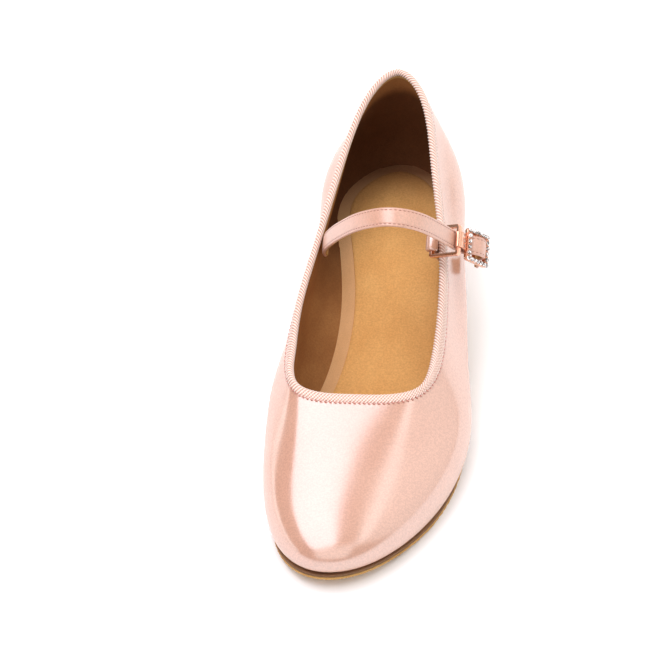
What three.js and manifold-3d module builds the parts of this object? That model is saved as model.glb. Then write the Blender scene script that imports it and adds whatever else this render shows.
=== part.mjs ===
// Ballroom dance shoe for the left foot: closed satin pump with an instep strap and a block heel.
// Millimetres, +Z up. The toe points to -Y, the heel to +Y and the outer side of the foot to +X.
// The origin is at the middle of the box that the shoe fills, on the floor.
import * as THREE from "three";
import { mergeVertices } from "three/addons/utils/BufferGeometryUtils.js";
import Module from "manifold-3d";

const wasm = await Module();
wasm.setup();

const radians = THREE.MathUtils.degToRad;
const lerp = THREE.MathUtils.lerp;
const clamp = THREE.MathUtils.clamp;

// Sizes of the last, as fractions of its length where they are places along the foot
const LENGTH = 229; // feather line, from the back of the heel to the toe tip
const HEEL_HEIGHT = 38; // heel seat above the floor, at the back
const SEAT_SLOPE = Math.tan(radians(5.5)); // the heel seat falls towards the toe
const TOE_SPRING = 5.5; // lift of the sole at the toe tip
const BREAST_AT = 0.228; // front of the heel
const BALL_AT = 0.66; // the sole meets the floor here
const SPRING_AT = 0.774; // and leaves it here

// Thicknesses and clearances
const WALL = 2; // satin, backing and lining together
const GAP = 0.3; // clearance between pieces that meet
const MIDSOLE = 1.6; // leather layer
const OUTSOLE = 1.2; // suede layer
const SOLE_STACK = MIDSOLE + OUTSOLE + 2 * GAP;
const SOLE_MARGIN = 1; // the sole stands out past the feather line
const BINDING_RADIUS = 1.5;
const INSOLE_INSET = 2.3; // from the feather line to the rim of the insole
const INSOLE_RIM = 1.4; // height of the rim
const INSOLE_BEVEL = 1.8; // width of the bevel above it
const INSOLE_CROWN = 3.2; // height in the middle
const INSOLE_SHOULDER = 0.75; // share of the rise from rim to crown that the bevel takes
const BEVEL_SHARE = 0.3; // most of the insole's width that one bevel takes, at its ends

// The heel narrows from the feather line to its bottom and stands on a lift
const HEEL_BOTTOM_WIDTH = 33;
const HEEL_BOTTOM_DEPTH = 41;
const HEEL_BOTTOM_BACK = 111.5; // place of its back edge along Y
const HEEL_HOLLOW = 1.8; // above 1 the back and sides are hollow
const HEEL_SQUARENESS = 0.62; // below 1 the bottom is squarer than an ellipse
const LIFT_HEIGHT = 3;
const LIFT_MARGIN = 0.7;

// The strap lies in one plane that leans towards the toe. Its places are across the foot and up the plane.
const STRAP_LEAN = 33; // degrees
const STRAP_FOOT = { y: 34, z: 60 }; // where the plane crosses the height of the topline
const STRAP_WIDTH = 8.5;
const STRAP_THICK = 2;

// Buckle: a ring held by a tab inside the outer wall, and a frame that hooks onto the ring
const RING = { inner: [24.6, 10.5], outer: [36.9, 17.6], bar: 1, width: 14.6 };
const ANCHOR = { width: 8, thick: 1.6, depth: 16, slope: 0.1, loopFrom: 22, loopTo: 254.5 };
const FRAME = { length: 16.8, width: 14.6, side: 1.8, thick: 1.6, bar: 0.8, barDrop: 1 };
const FRAME_AT = [43.3, 4];
const FRAME_DIRECTION = [0.45, -0.893]; // along the strap, towards its free end
const HOOK = { width: 7, thick: 0.8, curl: 95 };
const STONE = { radius: 1.1, height: 0.9, table: 0.6, sides: 8, alongLong: 7, alongShort: 6 };
const STONE_BED = 0.4;

// How finely each form is cut
const AROUND = 84; // ribs round the upper
const UP_THE_WALL = 11;
const BINDING_SIDES = 8;
const SOLE_STATIONS = 36;
const HEEL_LEVELS = 8;
const STRAP_STEPS = 64;
const LOOP_STEPS = 15;
const LEG_STEPS = 4;
const CURL_STEPS = 8;
const BAR_SEGMENTS = 6;
const BAR_SIDES = 12;

// Ribs of the last, from the toe tip round the outer side to the heel and back along the inner side.
// along, across: place of the rib's foot on the feather line
// swell, belly: how far the wall swells out over its foot, and how high
// crownIn, crownUp: how soon the wall turns in, and how soon it rises
// topAlong, topAcross, topHeight: place of the rib's end on the topline
// reach, tilt: length and steepness of the run into the topline
const RIB_COLUMNS = [
  "along", "across", "swell", "belly", "crownIn", "crownUp",
  "topAlong", "topAcross", "topHeight", "reach", "tilt",
];
const RIBS = [
  [1.0, -8.5, 4, 7, 0.19, 0.62, 0.715, -3.5, 46, 36, 20], // toe tip
  [0.984, 4, 4.5, 7, 0.19, 0.62, 0.713, 8.5, 46, 34, 21],
  [0.927, 18.5, 4.5, 7, 0.19, 0.62, 0.703, 20, 46, 28, 25],
  [0.816, 34, 4.3, 9.5, 0.18, 0.62, 0.67, 28.5, 45.5, 20, 35],
  [0.669, 42, 4, 13, 0.25, 0.6, 0.595, 32, 46, 16, 55], // outer ball
  [0.533, 38, 4.5, 15, 0.35, 0.55, 0.484, 32, 51.5, 14, 72],
  [0.386, 33, 5.5, 18, 0.4, 0.52, 0.359, 29.5, 62.5, 14, 82],
  [0.218, 30.5, 4, 20, 0.4, 0.5, 0.2, 22.5, 78, 16, 84],
  [0.071, 23.5, 3.5, 20, 0.4, 0.5, 0.073, 14.5, 95, 18, 70],
  [0.0, 0, 5, 20, 0.4, 0.5, 0.028, 1.5, 100, 20, 67], // back of the heel
  [0.071, -24, 4.5, 20, 0.4, 0.5, 0.076, -12, 94.5, 18, 70],
  [0.218, -26, 6.5, 20, 0.4, 0.5, 0.199, -22.5, 76, 16, 84],
  [0.386, -20, 10.5, 20, 0.4, 0.52, 0.358, -30, 59, 14, 82],
  [0.533, -25, 9.5, 18, 0.35, 0.55, 0.484, -34, 52, 14, 72],
  [0.69, -36.5, 4.5, 13, 0.25, 0.6, 0.593, -34.5, 47, 16, 55], // inner ball
  [0.837, -35, 4.3, 9.5, 0.18, 0.62, 0.668, -32, 46, 20, 35],
  [0.937, -28.5, 3.5, 7, 0.19, 0.62, 0.705, -24.5, 46, 28, 25],
  [0.986, -19, 3.5, 7, 0.19, 0.62, 0.715, -14.5, 46, 34, 21],
];
const HEEL_RIB = 9; // row of the back of the heel
const HEEL_SPAN = 3; // rows from there to past the heel breast

// The strap's middle, from inside the inner wall over the instep, through ring and frame, to its free end.
// Columns: across the foot, up the plane.
const STRAP_PATH = [
  [-25.4, -7], // behind the inner topline
  [-25.3, -1.5],
  [-22.8, 7.5],
  [-16.5, 22],
  [-6, 40],
  [5, 50.5],
  [14, 52],
  [22, 46],
  [28.5, 33.5],
  [34.8, 16.5], // under the ring's outer bar
  [37.5, 9.4], // under the frame's near side
  [44.4, 4.5], // over the frame's centre bar
  [44.2, -4], // under the frame's far side
  [43.4, -12],
  [41, -23], // free end
];

// Materials
function finish(color, roughness, metalness = 0) {
  return new THREE.MeshStandardMaterial({ color, roughness, metalness });
}
const SATIN = finish(0xf3bfae, 0.32);
const CORD = finish(0xf4cabb, 0.55);
const SUEDE = finish(0xc89257, 0.92);
const DARK_LEATHER = finish(0x6d4526, 0.75);
const SOLE_SUEDE = finish(0xb98a55, 0.95);
const ROSE_GOLD = finish(0xd98a6c, 0.22, 1);
const CRYSTAL = finish(0xeef2f5, 0.05);

// Closed cubic spline through rows of values, with its second derivatives solved by repeated sweeps
const SWEEPS = 80;
function closedSpline(knots, period, rows) {
  const count = rows.length;
  const width = rows[0].length;
  const step = knots.map((knot, i) => (i + 1 < count ? knots[i + 1] : period) - knot);
  const bend = rows.map((row) => row.map(() => 0));
  for (let sweep = 0; sweep < SWEEPS; sweep += 1) {
    for (let i = 0; i < count; i += 1) {
      const before = (i + count - 1) % count;
      const after = (i + 1) % count;
      for (let c = 0; c < width; c += 1) {
        const rise = (rows[after][c] - rows[i][c]) / step[i] - (rows[i][c] - rows[before][c]) / step[before];
        const carried = step[before] * bend[before][c] + step[i] * bend[after][c];
        bend[i][c] = (6 * rise - carried) / (2 * (step[before] + step[i]));
      }
    }
  }
  return (place) => {
    const at = ((place % period) + period) % period;
    let i = count - 1;
    while (knots[i] > at) {
      i -= 1;
    }
    const after = (i + 1) % count;
    const b = (at - knots[i]) / step[i];
    const a = 1 - b;
    const scale = (step[i] * step[i]) / 6;
    return rows[i].map((value, c) => {
      const curve = (a * a * a - a) * bend[i][c] + (b * b * b - b) * bend[after][c];
      return a * value + b * rows[after][c] + curve * scale;
    });
  };
}

// Places on the last
const yAt = (along) => LENGTH * (0.5 - along);
const alongAt = (y) => 0.5 - y / LENGTH;

// Height of the feather line: heel seat, arch, flat ball and toe spring
function seatAt(along) {
  const spring = Math.max(0, (along - SPRING_AT) / (1 - SPRING_AT));
  const lift = TOE_SPRING * spring * spring;
  const heelSeat = (place) => HEEL_HEIGHT - SEAT_SLOPE * LENGTH * place;
  if (along <= BREAST_AT) {
    return heelSeat(along);
  }
  const t = clamp((along - BREAST_AT) / (BALL_AT - BREAST_AT), 0, 1);
  const start = 2 * t ** 3 - 3 * t ** 2 + 1;
  const slope = (t ** 3 - 2 * t ** 2 + t) * LENGTH * (BALL_AT - BREAST_AT);
  return start * heelSeat(BREAST_AT) - slope * SEAT_SLOPE + (1 - start) * SOLE_STACK + lift;
}

const column = (name) => RIB_COLUMNS.indexOf(name);
const chord = (rows, along, across, i) => {
  const from = rows[i];
  const to = rows[(i + 1) % rows.length];
  return Math.hypot(to[across] - from[across], LENGTH * (to[along] - from[along]));
};

// Ribs are spaced by their feet and by their tops, so that neither crowds
const FOOT_SHARE = 0.6;
const footChords = RIBS.map((row, i) => chord(RIBS, column("along"), column("across"), i));
const topChords = RIBS.map((row, i) => chord(RIBS, column("topAlong"), column("topAcross"), i));
const sum = (list) => list.reduce((total, value) => total + value, 0);
const topScale = sum(footChords) / sum(topChords);
const ribSteps = footChords.map((foot, i) => FOOT_SHARE * foot + (1 - FOOT_SHARE) * topChords[i] * topScale);
const ribKnots = ribSteps.map((step, i) => sum(ribSteps.slice(0, i)));
const RIB_PERIOD = sum(ribSteps);
const ribSpline = closedSpline(ribKnots, RIB_PERIOD, RIBS);

function ribAt(place) {
  const values = ribSpline(place);
  return Object.fromEntries(RIB_COLUMNS.map((name, i) => [name, values[i]]));
}

const UP = new THREE.Vector3(0, 0, 1);
const NUDGE = 0.05; // step round the last for a direction, in millimetres
const NUDGE_UP = 0.01; // step up the wall, as a share of its height

// Outward direction of the feather line, level with the floor
function outwardAt(place) {
  const before = ribAt(place - NUDGE);
  const after = ribAt(place + NUDGE);
  const run = new THREE.Vector3(after.across - before.across, yAt(after.along) - yAt(before.along), 0);
  return run.normalize().cross(UP);
}

// Two guide points give the swell, as shares of a rib's swell and belly
const LOW_GUIDE = { out: 0.75, up: 0.3 };
const FULL_GUIDE = { out: 1.3, up: 1 };

// A flat run comes to the topline from the rib's foot, a steep one straight from outside, in degrees of tilt
const FLAT_TILT = 40;
const STEEP_TILT = 70;

// Six guide points of a rib: foot, two over the swell, the turn, the run into the topline, and the top
function guidePoints(place) {
  const rib = ribAt(place);
  const outward = outwardAt(place);
  const foot = new THREE.Vector3(rib.across, yAt(rib.along), seatAt(rib.along));
  const top = new THREE.Vector3(rib.topAcross, yAt(rib.topAlong), rib.topHeight);
  const [low, full] = [LOW_GUIDE, FULL_GUIDE].map(({ out, up }) => {
    const point = foot.clone().addScaledVector(outward, out * rib.swell);
    return point.addScaledVector(UP, up * rib.belly);
  });
  const level = new THREE.Vector3(foot.x - top.x, foot.y - top.y, 0).normalize();
  const steep = clamp((rib.tilt - FLAT_TILT) / (STEEP_TILT - FLAT_TILT), 0, 1);
  const away = level.multiplyScalar(1 - steep).addScaledVector(outward, steep).normalize();
  const tilt = radians(rib.tilt);
  const run = top.clone().addScaledVector(away, rib.reach * Math.cos(tilt));
  run.addScaledVector(UP, -rib.reach * Math.sin(tilt));
  const turn = new THREE.Vector3(
    lerp(full.x, run.x, rib.crownIn),
    lerp(full.y, run.y, rib.crownIn),
    lerp(full.z, run.z, rib.crownUp),
  );
  return [foot, low, full, turn, run, top];
}

// Cubic B-spline over six guide points, clamped at both ends
const GUIDE_KNOTS = [0, 0, 0, 0, 1 / 3, 2 / 3, 1, 1, 1, 1];
function guideWeights(t) {
  let weights = GUIDE_KNOTS.slice(0, -1).map((knot, i) => (t >= knot && t < GUIDE_KNOTS[i + 1] ? 1 : 0));
  if (t >= 1) {
    weights[GUIDE_KNOTS.length - 5] = 1;
  }
  for (let degree = 1; degree <= 3; degree += 1) {
    weights = weights.slice(0, -1).map((weight, i) => {
      const rising = GUIDE_KNOTS[i + degree] - GUIDE_KNOTS[i];
      const falling = GUIDE_KNOTS[i + degree + 1] - GUIDE_KNOTS[i + 1];
      const left = rising > 0 ? ((t - GUIDE_KNOTS[i]) / rising) * weight : 0;
      const right = falling > 0 ? ((GUIDE_KNOTS[i + degree + 1] - t) / falling) * weights[i + 1] : 0;
      return left + right;
    });
  }
  return weights;
}

function lastPoint(place, t) {
  const weights = guideWeights(t);
  const point = new THREE.Vector3();
  guidePoints(place).forEach((guide, i) => point.addScaledVector(guide, weights[i]));
  return point;
}

// Outward normal of the last
function lastNormal(place, t) {
  const low = Math.max(0, t - NUDGE_UP);
  const high = Math.min(1, t + NUDGE_UP);
  const around = lastPoint(place + NUDGE, t).sub(lastPoint(place - NUDGE, t));
  const upward = lastPoint(place, high).sub(lastPoint(place, low));
  return around.cross(upward).normalize();
}

const places = (count) => Array.from({ length: count }, (unused, i) => (i * RIB_PERIOD) / count);
const spread = (count) => Array.from({ length: count + 1 }, (unused, i) => i / count);

// Closed body from points and triangles, turned so that its faces point out
function body(points, triangles) {
  let volume = 0;
  for (const [a, b, c] of triangles) {
    volume += points[a].dot(points[b].clone().cross(points[c]));
  }
  const facing = volume < 0 ? triangles.map(([a, b, c]) => [a, c, b]) : triangles;
  const geometry = new THREE.BufferGeometry().setFromPoints(points);
  geometry.setIndex(facing.flat());
  geometry.computeVertexNormals();
  return geometry;
}

// Loft through rings of equal count, closed into a loop or capped at both ends
function loft(rings, looped) {
  const size = rings[0].length;
  const triangles = [];
  const last = looped ? rings.length : rings.length - 1;
  for (let r = 0; r < last; r += 1) {
    const here = r * size;
    const there = ((r + 1) % rings.length) * size;
    for (let i = 0; i < size; i += 1) {
      const j = (i + 1) % size;
      triangles.push([here + i, there + i, there + j], [here + i, there + j, here + j]);
    }
  }
  if (!looped) {
    const end = (rings.length - 1) * size;
    for (let i = 1; i + 1 < size; i += 1) {
      triangles.push([0, i, i + 1], [end, end + i + 1, end + i]);
    }
  }
  return body(rings.flat(), triangles);
}

// Upper: outer face up to the topline, inner face back down
function upperGeometry() {
  const steps = spread(UP_THE_WALL);
  const rings = places(AROUND).map((place) => {
    const outer = steps.map((t) => lastPoint(place, t));
    const inner = steps.map((t, i) => outer[i].clone().addScaledVector(lastNormal(place, t), -WALL));
    return [...outer, ...inner.reverse()];
  });
  return loft(rings, true);
}

// Binding: a cord round the topline, standing on the edge of the wall
function bindingGeometry() {
  const rings = places(AROUND).map((place) => {
    const normal = lastNormal(place, 1);
    const rising = lastPoint(place, 1).sub(lastPoint(place, 1 - 2 * NUDGE_UP)).normalize();
    const middle = lastPoint(place, 1).addScaledVector(normal, -WALL / 2);
    middle.addScaledVector(rising, GAP + BINDING_RADIUS);
    return spread(BINDING_SIDES).slice(1).map((part) => {
      const turn = part * 2 * Math.PI;
      const point = middle.clone().addScaledVector(normal, BINDING_RADIUS * Math.cos(turn));
      return point.addScaledVector(rising, BINDING_RADIUS * Math.sin(turn));
    });
  });
  return loft(rings, true);
}

// Outline of the feather line moved out by a margin, as its two sides at chosen places along the foot
const OUTLINE_POINTS = 360;
function outline(margin) {
  const points = places(OUTLINE_POINTS).map((place) => {
    const rib = ribAt(place);
    return new THREE.Vector3(rib.across, yAt(rib.along), 0).addScaledVector(outwardAt(place), margin);
  });
  const heel = points.reduce((best, point, i) => (point.y > points[best].y ? i : best), 0);
  const toe = points.reduce((best, point, i) => (point.y < points[best].y ? i : best), 0);
  const walk = (from, to) => {
    const stops = [];
    for (let i = from; i !== to; i = (i + 1) % OUTLINE_POINTS) {
      stops.push(points[i]);
    }
    return [...stops, points[to]];
  };
  const across = (side, y) => {
    const i = side.findIndex((point, k) => k > 0 && (point.y - y) * (side[k - 1].y - y) <= 0);
    const share = (y - side[i - 1].y) / (side[i].y - side[i - 1].y || 1);
    return lerp(side[i - 1].x, side[i].x, share);
  };
  const outer = walk(toe, heel);
  const inner = walk(heel, toe);
  return { back: points[heel].y, front: points[toe].y, sides: (y) => [across(outer, y), across(inner, y)] };
}

// Places between two ends, closer together towards the ends that are round
const END_SKIP = 0.06;
function stations(from, to, roundFrom, count) {
  const start = roundFrom ? END_SKIP : Math.PI / 2;
  return spread(count).map((part) => {
    const turn = lerp(start, Math.PI - END_SKIP, part);
    const share = roundFrom ? (1 - Math.cos(turn)) / 2 : -Math.cos(turn);
    return lerp(from, to, share);
  });
}

// One layer of the sole, from the heel breast to the toe
function soleLayerGeometry(depth, thick) {
  const edge = outline(SOLE_MARGIN);
  const back = yAt(BREAST_AT) - GAP;
  const rings = stations(back, edge.front, false, SOLE_STATIONS).map((y) => {
    const [outer, inner] = edge.sides(y);
    const top = seatAt(alongAt(y)) - depth;
    const bottom = top - thick;
    return [
      new THREE.Vector3(outer, y, bottom),
      new THREE.Vector3(outer, y, top),
      new THREE.Vector3(inner, y, top),
      new THREE.Vector3(inner, y, bottom),
    ];
  });
  return loft(rings, false);
}

// Insole: a padded sock with a bevelled rim, over heel seat and sole
function insoleGeometry() {
  const edge = outline(-INSOLE_INSET);
  const rings = stations(edge.back, edge.front, true, SOLE_STATIONS).map((y) => {
    const [outer, inner] = edge.sides(y);
    const seat = seatAt(alongAt(y));
    const bevel = Math.min(INSOLE_BEVEL, BEVEL_SHARE * (outer - inner));
    const point = (x, height) => new THREE.Vector3(x, y, seat + height);
    const shoulder = lerp(INSOLE_RIM, INSOLE_CROWN, INSOLE_SHOULDER);
    return [
      point(inner, 0),
      point(outer, 0),
      point(outer, INSOLE_RIM),
      point(outer - bevel, shoulder),
      point((outer + inner) / 2, INSOLE_CROWN),
      point(inner + bevel, shoulder),
      point(inner, INSOLE_RIM),
    ];
  });
  return loft(rings, false);
}

// Heel outlines, from the outer front corner round the back to the inner front corner, then along the breast
const HEEL_SIDE_POINTS = 32;
const BREAST_POINTS = 3;
function closeBreast(side) {
  const from = side[side.length - 1];
  const to = side[0];
  const breast = spread(BREAST_POINTS + 1).slice(1, -1).map((part) => from.clone().lerp(to, part));
  return [...side, ...breast];
}

// Place of the heel breast on the feather line, found by halving
const HALVINGS = 40;
function placeAtBreast(from, to) {
  let [low, high] = [from, to];
  for (let i = 0; i < HALVINGS; i += 1) {
    const middle = (low + high) / 2;
    const ahead = (ribAt(middle).along > BREAST_AT) === (ribAt(low).along > BREAST_AT);
    [low, high] = ahead ? [middle, high] : [low, middle];
  }
  return low;
}

function heelTopOutline() {
  const heelPlace = ribKnots[HEEL_RIB];
  const from = placeAtBreast(ribKnots[HEEL_RIB - HEEL_SPAN], heelPlace);
  const to = placeAtBreast(heelPlace, ribKnots[HEEL_RIB + HEEL_SPAN]);
  const side = spread(HEEL_SIDE_POINTS).map((part) => {
    const rib = ribAt(lerp(from, to, part));
    return new THREE.Vector3(rib.across, yAt(rib.along), 0);
  });
  return closeBreast(side);
}

function heelBottomOutline(margin) {
  const width = HEEL_BOTTOM_WIDTH / 2 + margin;
  const front = HEEL_BOTTOM_BACK - HEEL_BOTTOM_DEPTH - margin;
  const depth = HEEL_BOTTOM_DEPTH + 2 * margin;
  const side = spread(HEEL_SIDE_POINTS).map((part) => {
    const turn = part * Math.PI;
    const x = width * Math.sign(Math.cos(turn)) * Math.abs(Math.cos(turn)) ** HEEL_SQUARENESS;
    return new THREE.Vector3(x, front + depth * Math.sin(turn) ** HEEL_SQUARENESS, 0);
  });
  return closeBreast(side);
}

function heelGeometry() {
  const top = heelTopOutline();
  const bottom = heelBottomOutline(0);
  const floor = LIFT_HEIGHT + GAP;
  const rings = spread(HEEL_LEVELS).map((part) => bottom.map((low, i) => {
    const point = low.clone().lerp(top[i], part ** HEEL_HOLLOW);
    point.z = lerp(floor, seatAt(alongAt(top[i].y)) - GAP, part);
    return point;
  }));
  return loft(rings, false);
}

function liftGeometry() {
  const ring = heelBottomOutline(LIFT_MARGIN);
  const rings = [0, LIFT_HEIGHT].map((z) => ring.map((point) => new THREE.Vector3(point.x, point.y, z)));
  return loft(rings, false);
}

// Solids for joining and cutting
const MERGE_WITHIN = 1e-4;
function solid(geometry) {
  const bare = geometry.clone();
  bare.deleteAttribute("normal");
  bare.deleteAttribute("uv");
  const merged = mergeVertices(bare, MERGE_WITHIN);
  return new wasm.Manifold(new wasm.Mesh({
    numProp: 3,
    vertProperties: new Float32Array(merged.attributes.position.array),
    triVerts: new Uint32Array(merged.index.array),
  }));
}

function geometryOf(manifold) {
  const mesh = manifold.getMesh();
  const geometry = new THREE.BufferGeometry();
  geometry.setAttribute("position", new THREE.BufferAttribute(mesh.vertProperties, 3));
  geometry.setIndex(new THREE.BufferAttribute(mesh.triVerts, 1));
  geometry.computeVertexNormals();
  return geometry;
}

// Profile in the strap's plane, extruded across the strap about its middle
function acrossStrap(shape, width) {
  const options = { depth: width, bevelEnabled: false, curveSegments: BAR_SEGMENTS };
  const geometry = new THREE.ExtrudeGeometry(shape, options);
  return geometry.translate(0, 0, -width / 2);
}

// Band of even thickness along a path in the strap's plane
function bandShape(points, thick) {
  const left = [];
  const right = [];
  points.forEach((point, i) => {
    const before = points[Math.max(0, i - 1)];
    const after = points[Math.min(points.length - 1, i + 1)];
    const run = after.clone().sub(before).normalize();
    const side = new THREE.Vector2(-run.y, run.x).multiplyScalar(thick / 2);
    left.push(point.clone().add(side));
    right.unshift(point.clone().sub(side));
  });
  return new THREE.Shape([...left, ...right]);
}

function strapGeometry() {
  const path = new THREE.SplineCurve(STRAP_PATH.map(([across, rise]) => new THREE.Vector2(across, rise)));
  return acrossStrap(bandShape(path.getSpacedPoints(STRAP_STEPS), STRAP_THICK), STRAP_WIDTH);
}

const vector2 = ([x, y]) => new THREE.Vector2(x, y);

// Tab looped round the ring's inner bar, with its leg down the inside of the outer wall
function anchorGeometry() {
  const bar = vector2(RING.inner);
  const middle = RING.bar + GAP + ANCHOR.thick / 2;
  const loop = spread(LOOP_STEPS).map((part) => {
    const turn = radians(lerp(ANCHOR.loopFrom, ANCHOR.loopTo, part));
    return bar.clone().add(new THREE.Vector2(Math.cos(turn), Math.sin(turn)).multiplyScalar(middle));
  });
  const leg = spread(LEG_STEPS).slice(1).map((part) => {
    const drop = part * ANCHOR.depth;
    return bar.clone().add(new THREE.Vector2(ANCHOR.slope * drop, -middle - drop));
  });
  return acrossStrap(bandShape([...loop, ...leg], ANCHOR.thick), ANCHOR.width);
}

// Ring: two bars across the strap, joined by an arm at each end
function ringGeometry() {
  const inner = vector2(RING.inner);
  const outer = vector2(RING.outer);
  const round = new THREE.Shape().absarc(0, 0, RING.bar, 0, 2 * Math.PI);
  const bars = [inner, outer].map((at) => acrossStrap(round, RING.width).translate(at.x, at.y, 0));
  const reach = RING.width / 2 - RING.bar;
  const arm = bandShape([inner, outer], 2 * RING.bar);
  const arms = [-reach, reach].map((z) => acrossStrap(arm, 2 * RING.bar).translate(0, 0, z));
  const [first, ...others] = [...bars, ...arms].map(solid);
  return geometryOf(others.reduce((whole, piece) => whole.add(piece), first));
}

// Frame axes in the strap's plane: along the strap, out of the frame's face, and across the strap
function frameMatrix() {
  const along = new THREE.Vector3(FRAME_DIRECTION[0], FRAME_DIRECTION[1], 0).normalize();
  const across = new THREE.Vector3(0, 0, 1);
  const out = across.clone().cross(along);
  const matrix = new THREE.Matrix4().makeBasis(along, across.negate(), out);
  return matrix.setPosition(FRAME_AT[0], FRAME_AT[1], 0);
}

function rectangle(length, width) {
  const shape = new THREE.Shape();
  shape.moveTo(-length / 2, -width / 2);
  shape.lineTo(length / 2, -width / 2);
  shape.lineTo(length / 2, width / 2);
  shape.lineTo(-length / 2, width / 2);
  shape.closePath();
  return shape;
}

function framePlate(thick, low) {
  const shape = rectangle(FRAME.length, FRAME.width);
  shape.holes.push(rectangle(FRAME.length - 2 * FRAME.side, FRAME.width - 2 * FRAME.side));
  return new THREE.ExtrudeGeometry(shape, { depth: thick, bevelEnabled: false }).translate(0, 0, low);
}

// Hook: a strip from the frame's near side, over the ring's outer bar
function hookGeometry() {
  const bar = vector2(RING.outer);
  const along = vector2(FRAME_DIRECTION).normalize();
  const out = new THREE.Vector2(-along.y, along.x);
  const middle = RING.bar + GAP + HOOK.thick / 2;
  const root = vector2(FRAME_AT).addScaledVector(along, -(FRAME.length - FRAME.side) / 2);
  const facing = out.angle();
  const curl = spread(CURL_STEPS).map((part) => {
    const turn = facing + part * radians(HOOK.curl);
    return bar.clone().add(new THREE.Vector2(Math.cos(turn), Math.sin(turn)).multiplyScalar(middle));
  });
  return acrossStrap(bandShape([root, ...curl], HOOK.thick), HOOK.width);
}

function frameGeometry() {
  const matrix = frameMatrix();
  const plate = framePlate(FRAME.thick, -FRAME.thick / 2).applyMatrix4(matrix);
  const bar = new THREE.CylinderGeometry(FRAME.bar, FRAME.bar, FRAME.width - FRAME.side, BAR_SIDES);
  bar.translate(0, 0, -FRAME.barDrop).applyMatrix4(matrix);
  return geometryOf(solid(plate).add(solid(bar)).add(solid(hookGeometry())));
}

// Stones: low cut cones on one thin bed, evenly round the frame
function stonePlaces() {
  const length = FRAME.length - FRAME.side;
  const width = FRAME.width - FRAME.side;
  const list = [];
  for (const part of spread(STONE.alongLong - 1)) {
    const x = lerp(-length / 2, length / 2, part);
    list.push([x, -width / 2], [x, width / 2]);
  }
  for (const part of spread(STONE.alongShort - 1).slice(1, -1)) {
    const y = lerp(-width / 2, width / 2, part);
    list.push([-length / 2, y], [length / 2, y]);
  }
  return list;
}

function crystalGeometry() {
  const floor = FRAME.thick / 2 + GAP;
  const bed = solid(framePlate(STONE_BED, floor));
  const stones = stonePlaces().map(([x, y]) => {
    const { radius, height, table, sides } = STONE;
    const cone = new THREE.CylinderGeometry(radius * table, radius, height, sides);
    cone.rotateX(Math.PI / 2);
    return solid(cone.translate(x, y, floor + STONE_BED / 2 + height / 2));
  });
  return geometryOf(stones.reduce((whole, stone) => whole.add(stone), bed)).applyMatrix4(frameMatrix());
}

function piece(name, geometry, material) {
  const mesh = new THREE.Mesh(geometry, material);
  mesh.name = name;
  return mesh;
}

// Last, sole and heel stand in the shoe's own frame
const shoe = new THREE.Group();
shoe.add(piece("upper", upperGeometry(), SATIN));
shoe.add(piece("topline_binding", bindingGeometry(), CORD));
shoe.add(piece("insole", insoleGeometry(), SUEDE));
shoe.add(piece("midsole", soleLayerGeometry(GAP, MIDSOLE), DARK_LEATHER));
shoe.add(piece("outsole", soleLayerGeometry(2 * GAP + MIDSOLE, OUTSOLE), SOLE_SUEDE));
shoe.add(piece("heel", heelGeometry(), SATIN));
shoe.add(piece("heel_top_lift", liftGeometry(), SOLE_SUEDE));

// Strap and buckle share the leaning plane
const fastening = new THREE.Group();
fastening.position.set(0, STRAP_FOOT.y, STRAP_FOOT.z);
fastening.rotation.x = Math.PI / 2 + radians(STRAP_LEAN);
fastening.add(piece("strap", strapGeometry(), SATIN));
fastening.add(piece("strap_anchor", anchorGeometry(), SATIN));
fastening.add(piece("buckle_ring", ringGeometry(), ROSE_GOLD));
fastening.add(piece("buckle_frame", frameGeometry(), ROSE_GOLD));
fastening.add(piece("crystal_band", crystalGeometry(), CRYSTAL));
shoe.add(fastening);

// Set the origin under the middle of the shoe, on the floor
const box = new THREE.Box3().setFromObject(shoe, true);
const middle = box.getCenter(new THREE.Vector3());
shoe.position.set(-middle.x, -middle.y, -box.min.z);
shoe.updateMatrixWorld(true);

export default shoe;
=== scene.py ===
"""Satin ballroom dance shoe for the left foot: its looks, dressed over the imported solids.

Lengths in this script are millimetres in the last's own frame, with +Z up, the toe towards -Y and
the outer side of the foot towards +X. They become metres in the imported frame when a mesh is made.
"""

import math

import bpy
import numpy as np
from mathutils import Matrix, Vector


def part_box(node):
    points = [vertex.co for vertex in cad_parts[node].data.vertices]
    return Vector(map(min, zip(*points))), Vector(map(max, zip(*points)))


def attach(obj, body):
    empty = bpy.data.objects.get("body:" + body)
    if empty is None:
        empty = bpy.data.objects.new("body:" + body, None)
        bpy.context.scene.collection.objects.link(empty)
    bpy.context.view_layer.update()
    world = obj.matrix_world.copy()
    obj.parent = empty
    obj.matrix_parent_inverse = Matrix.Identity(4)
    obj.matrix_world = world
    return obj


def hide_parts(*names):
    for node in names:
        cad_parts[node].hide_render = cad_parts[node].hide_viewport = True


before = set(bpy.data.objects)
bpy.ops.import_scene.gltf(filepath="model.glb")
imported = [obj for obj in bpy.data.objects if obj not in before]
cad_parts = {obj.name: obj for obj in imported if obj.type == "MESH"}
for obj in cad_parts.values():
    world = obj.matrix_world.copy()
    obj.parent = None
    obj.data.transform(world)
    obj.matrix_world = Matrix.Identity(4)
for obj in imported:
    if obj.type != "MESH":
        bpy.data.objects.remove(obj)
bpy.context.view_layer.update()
MM = 0.001
SEED = 7

# Sizes of the last, as fractions of its length where they are places along the foot
LENGTH = 229
HEEL_HEIGHT = 38
SEAT_SLOPE = math.tan(math.radians(5.5))
TOE_SPRING = 5.5
BREAST_AT = 0.228
BALL_AT = 0.66
SPRING_AT = 0.774

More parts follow.
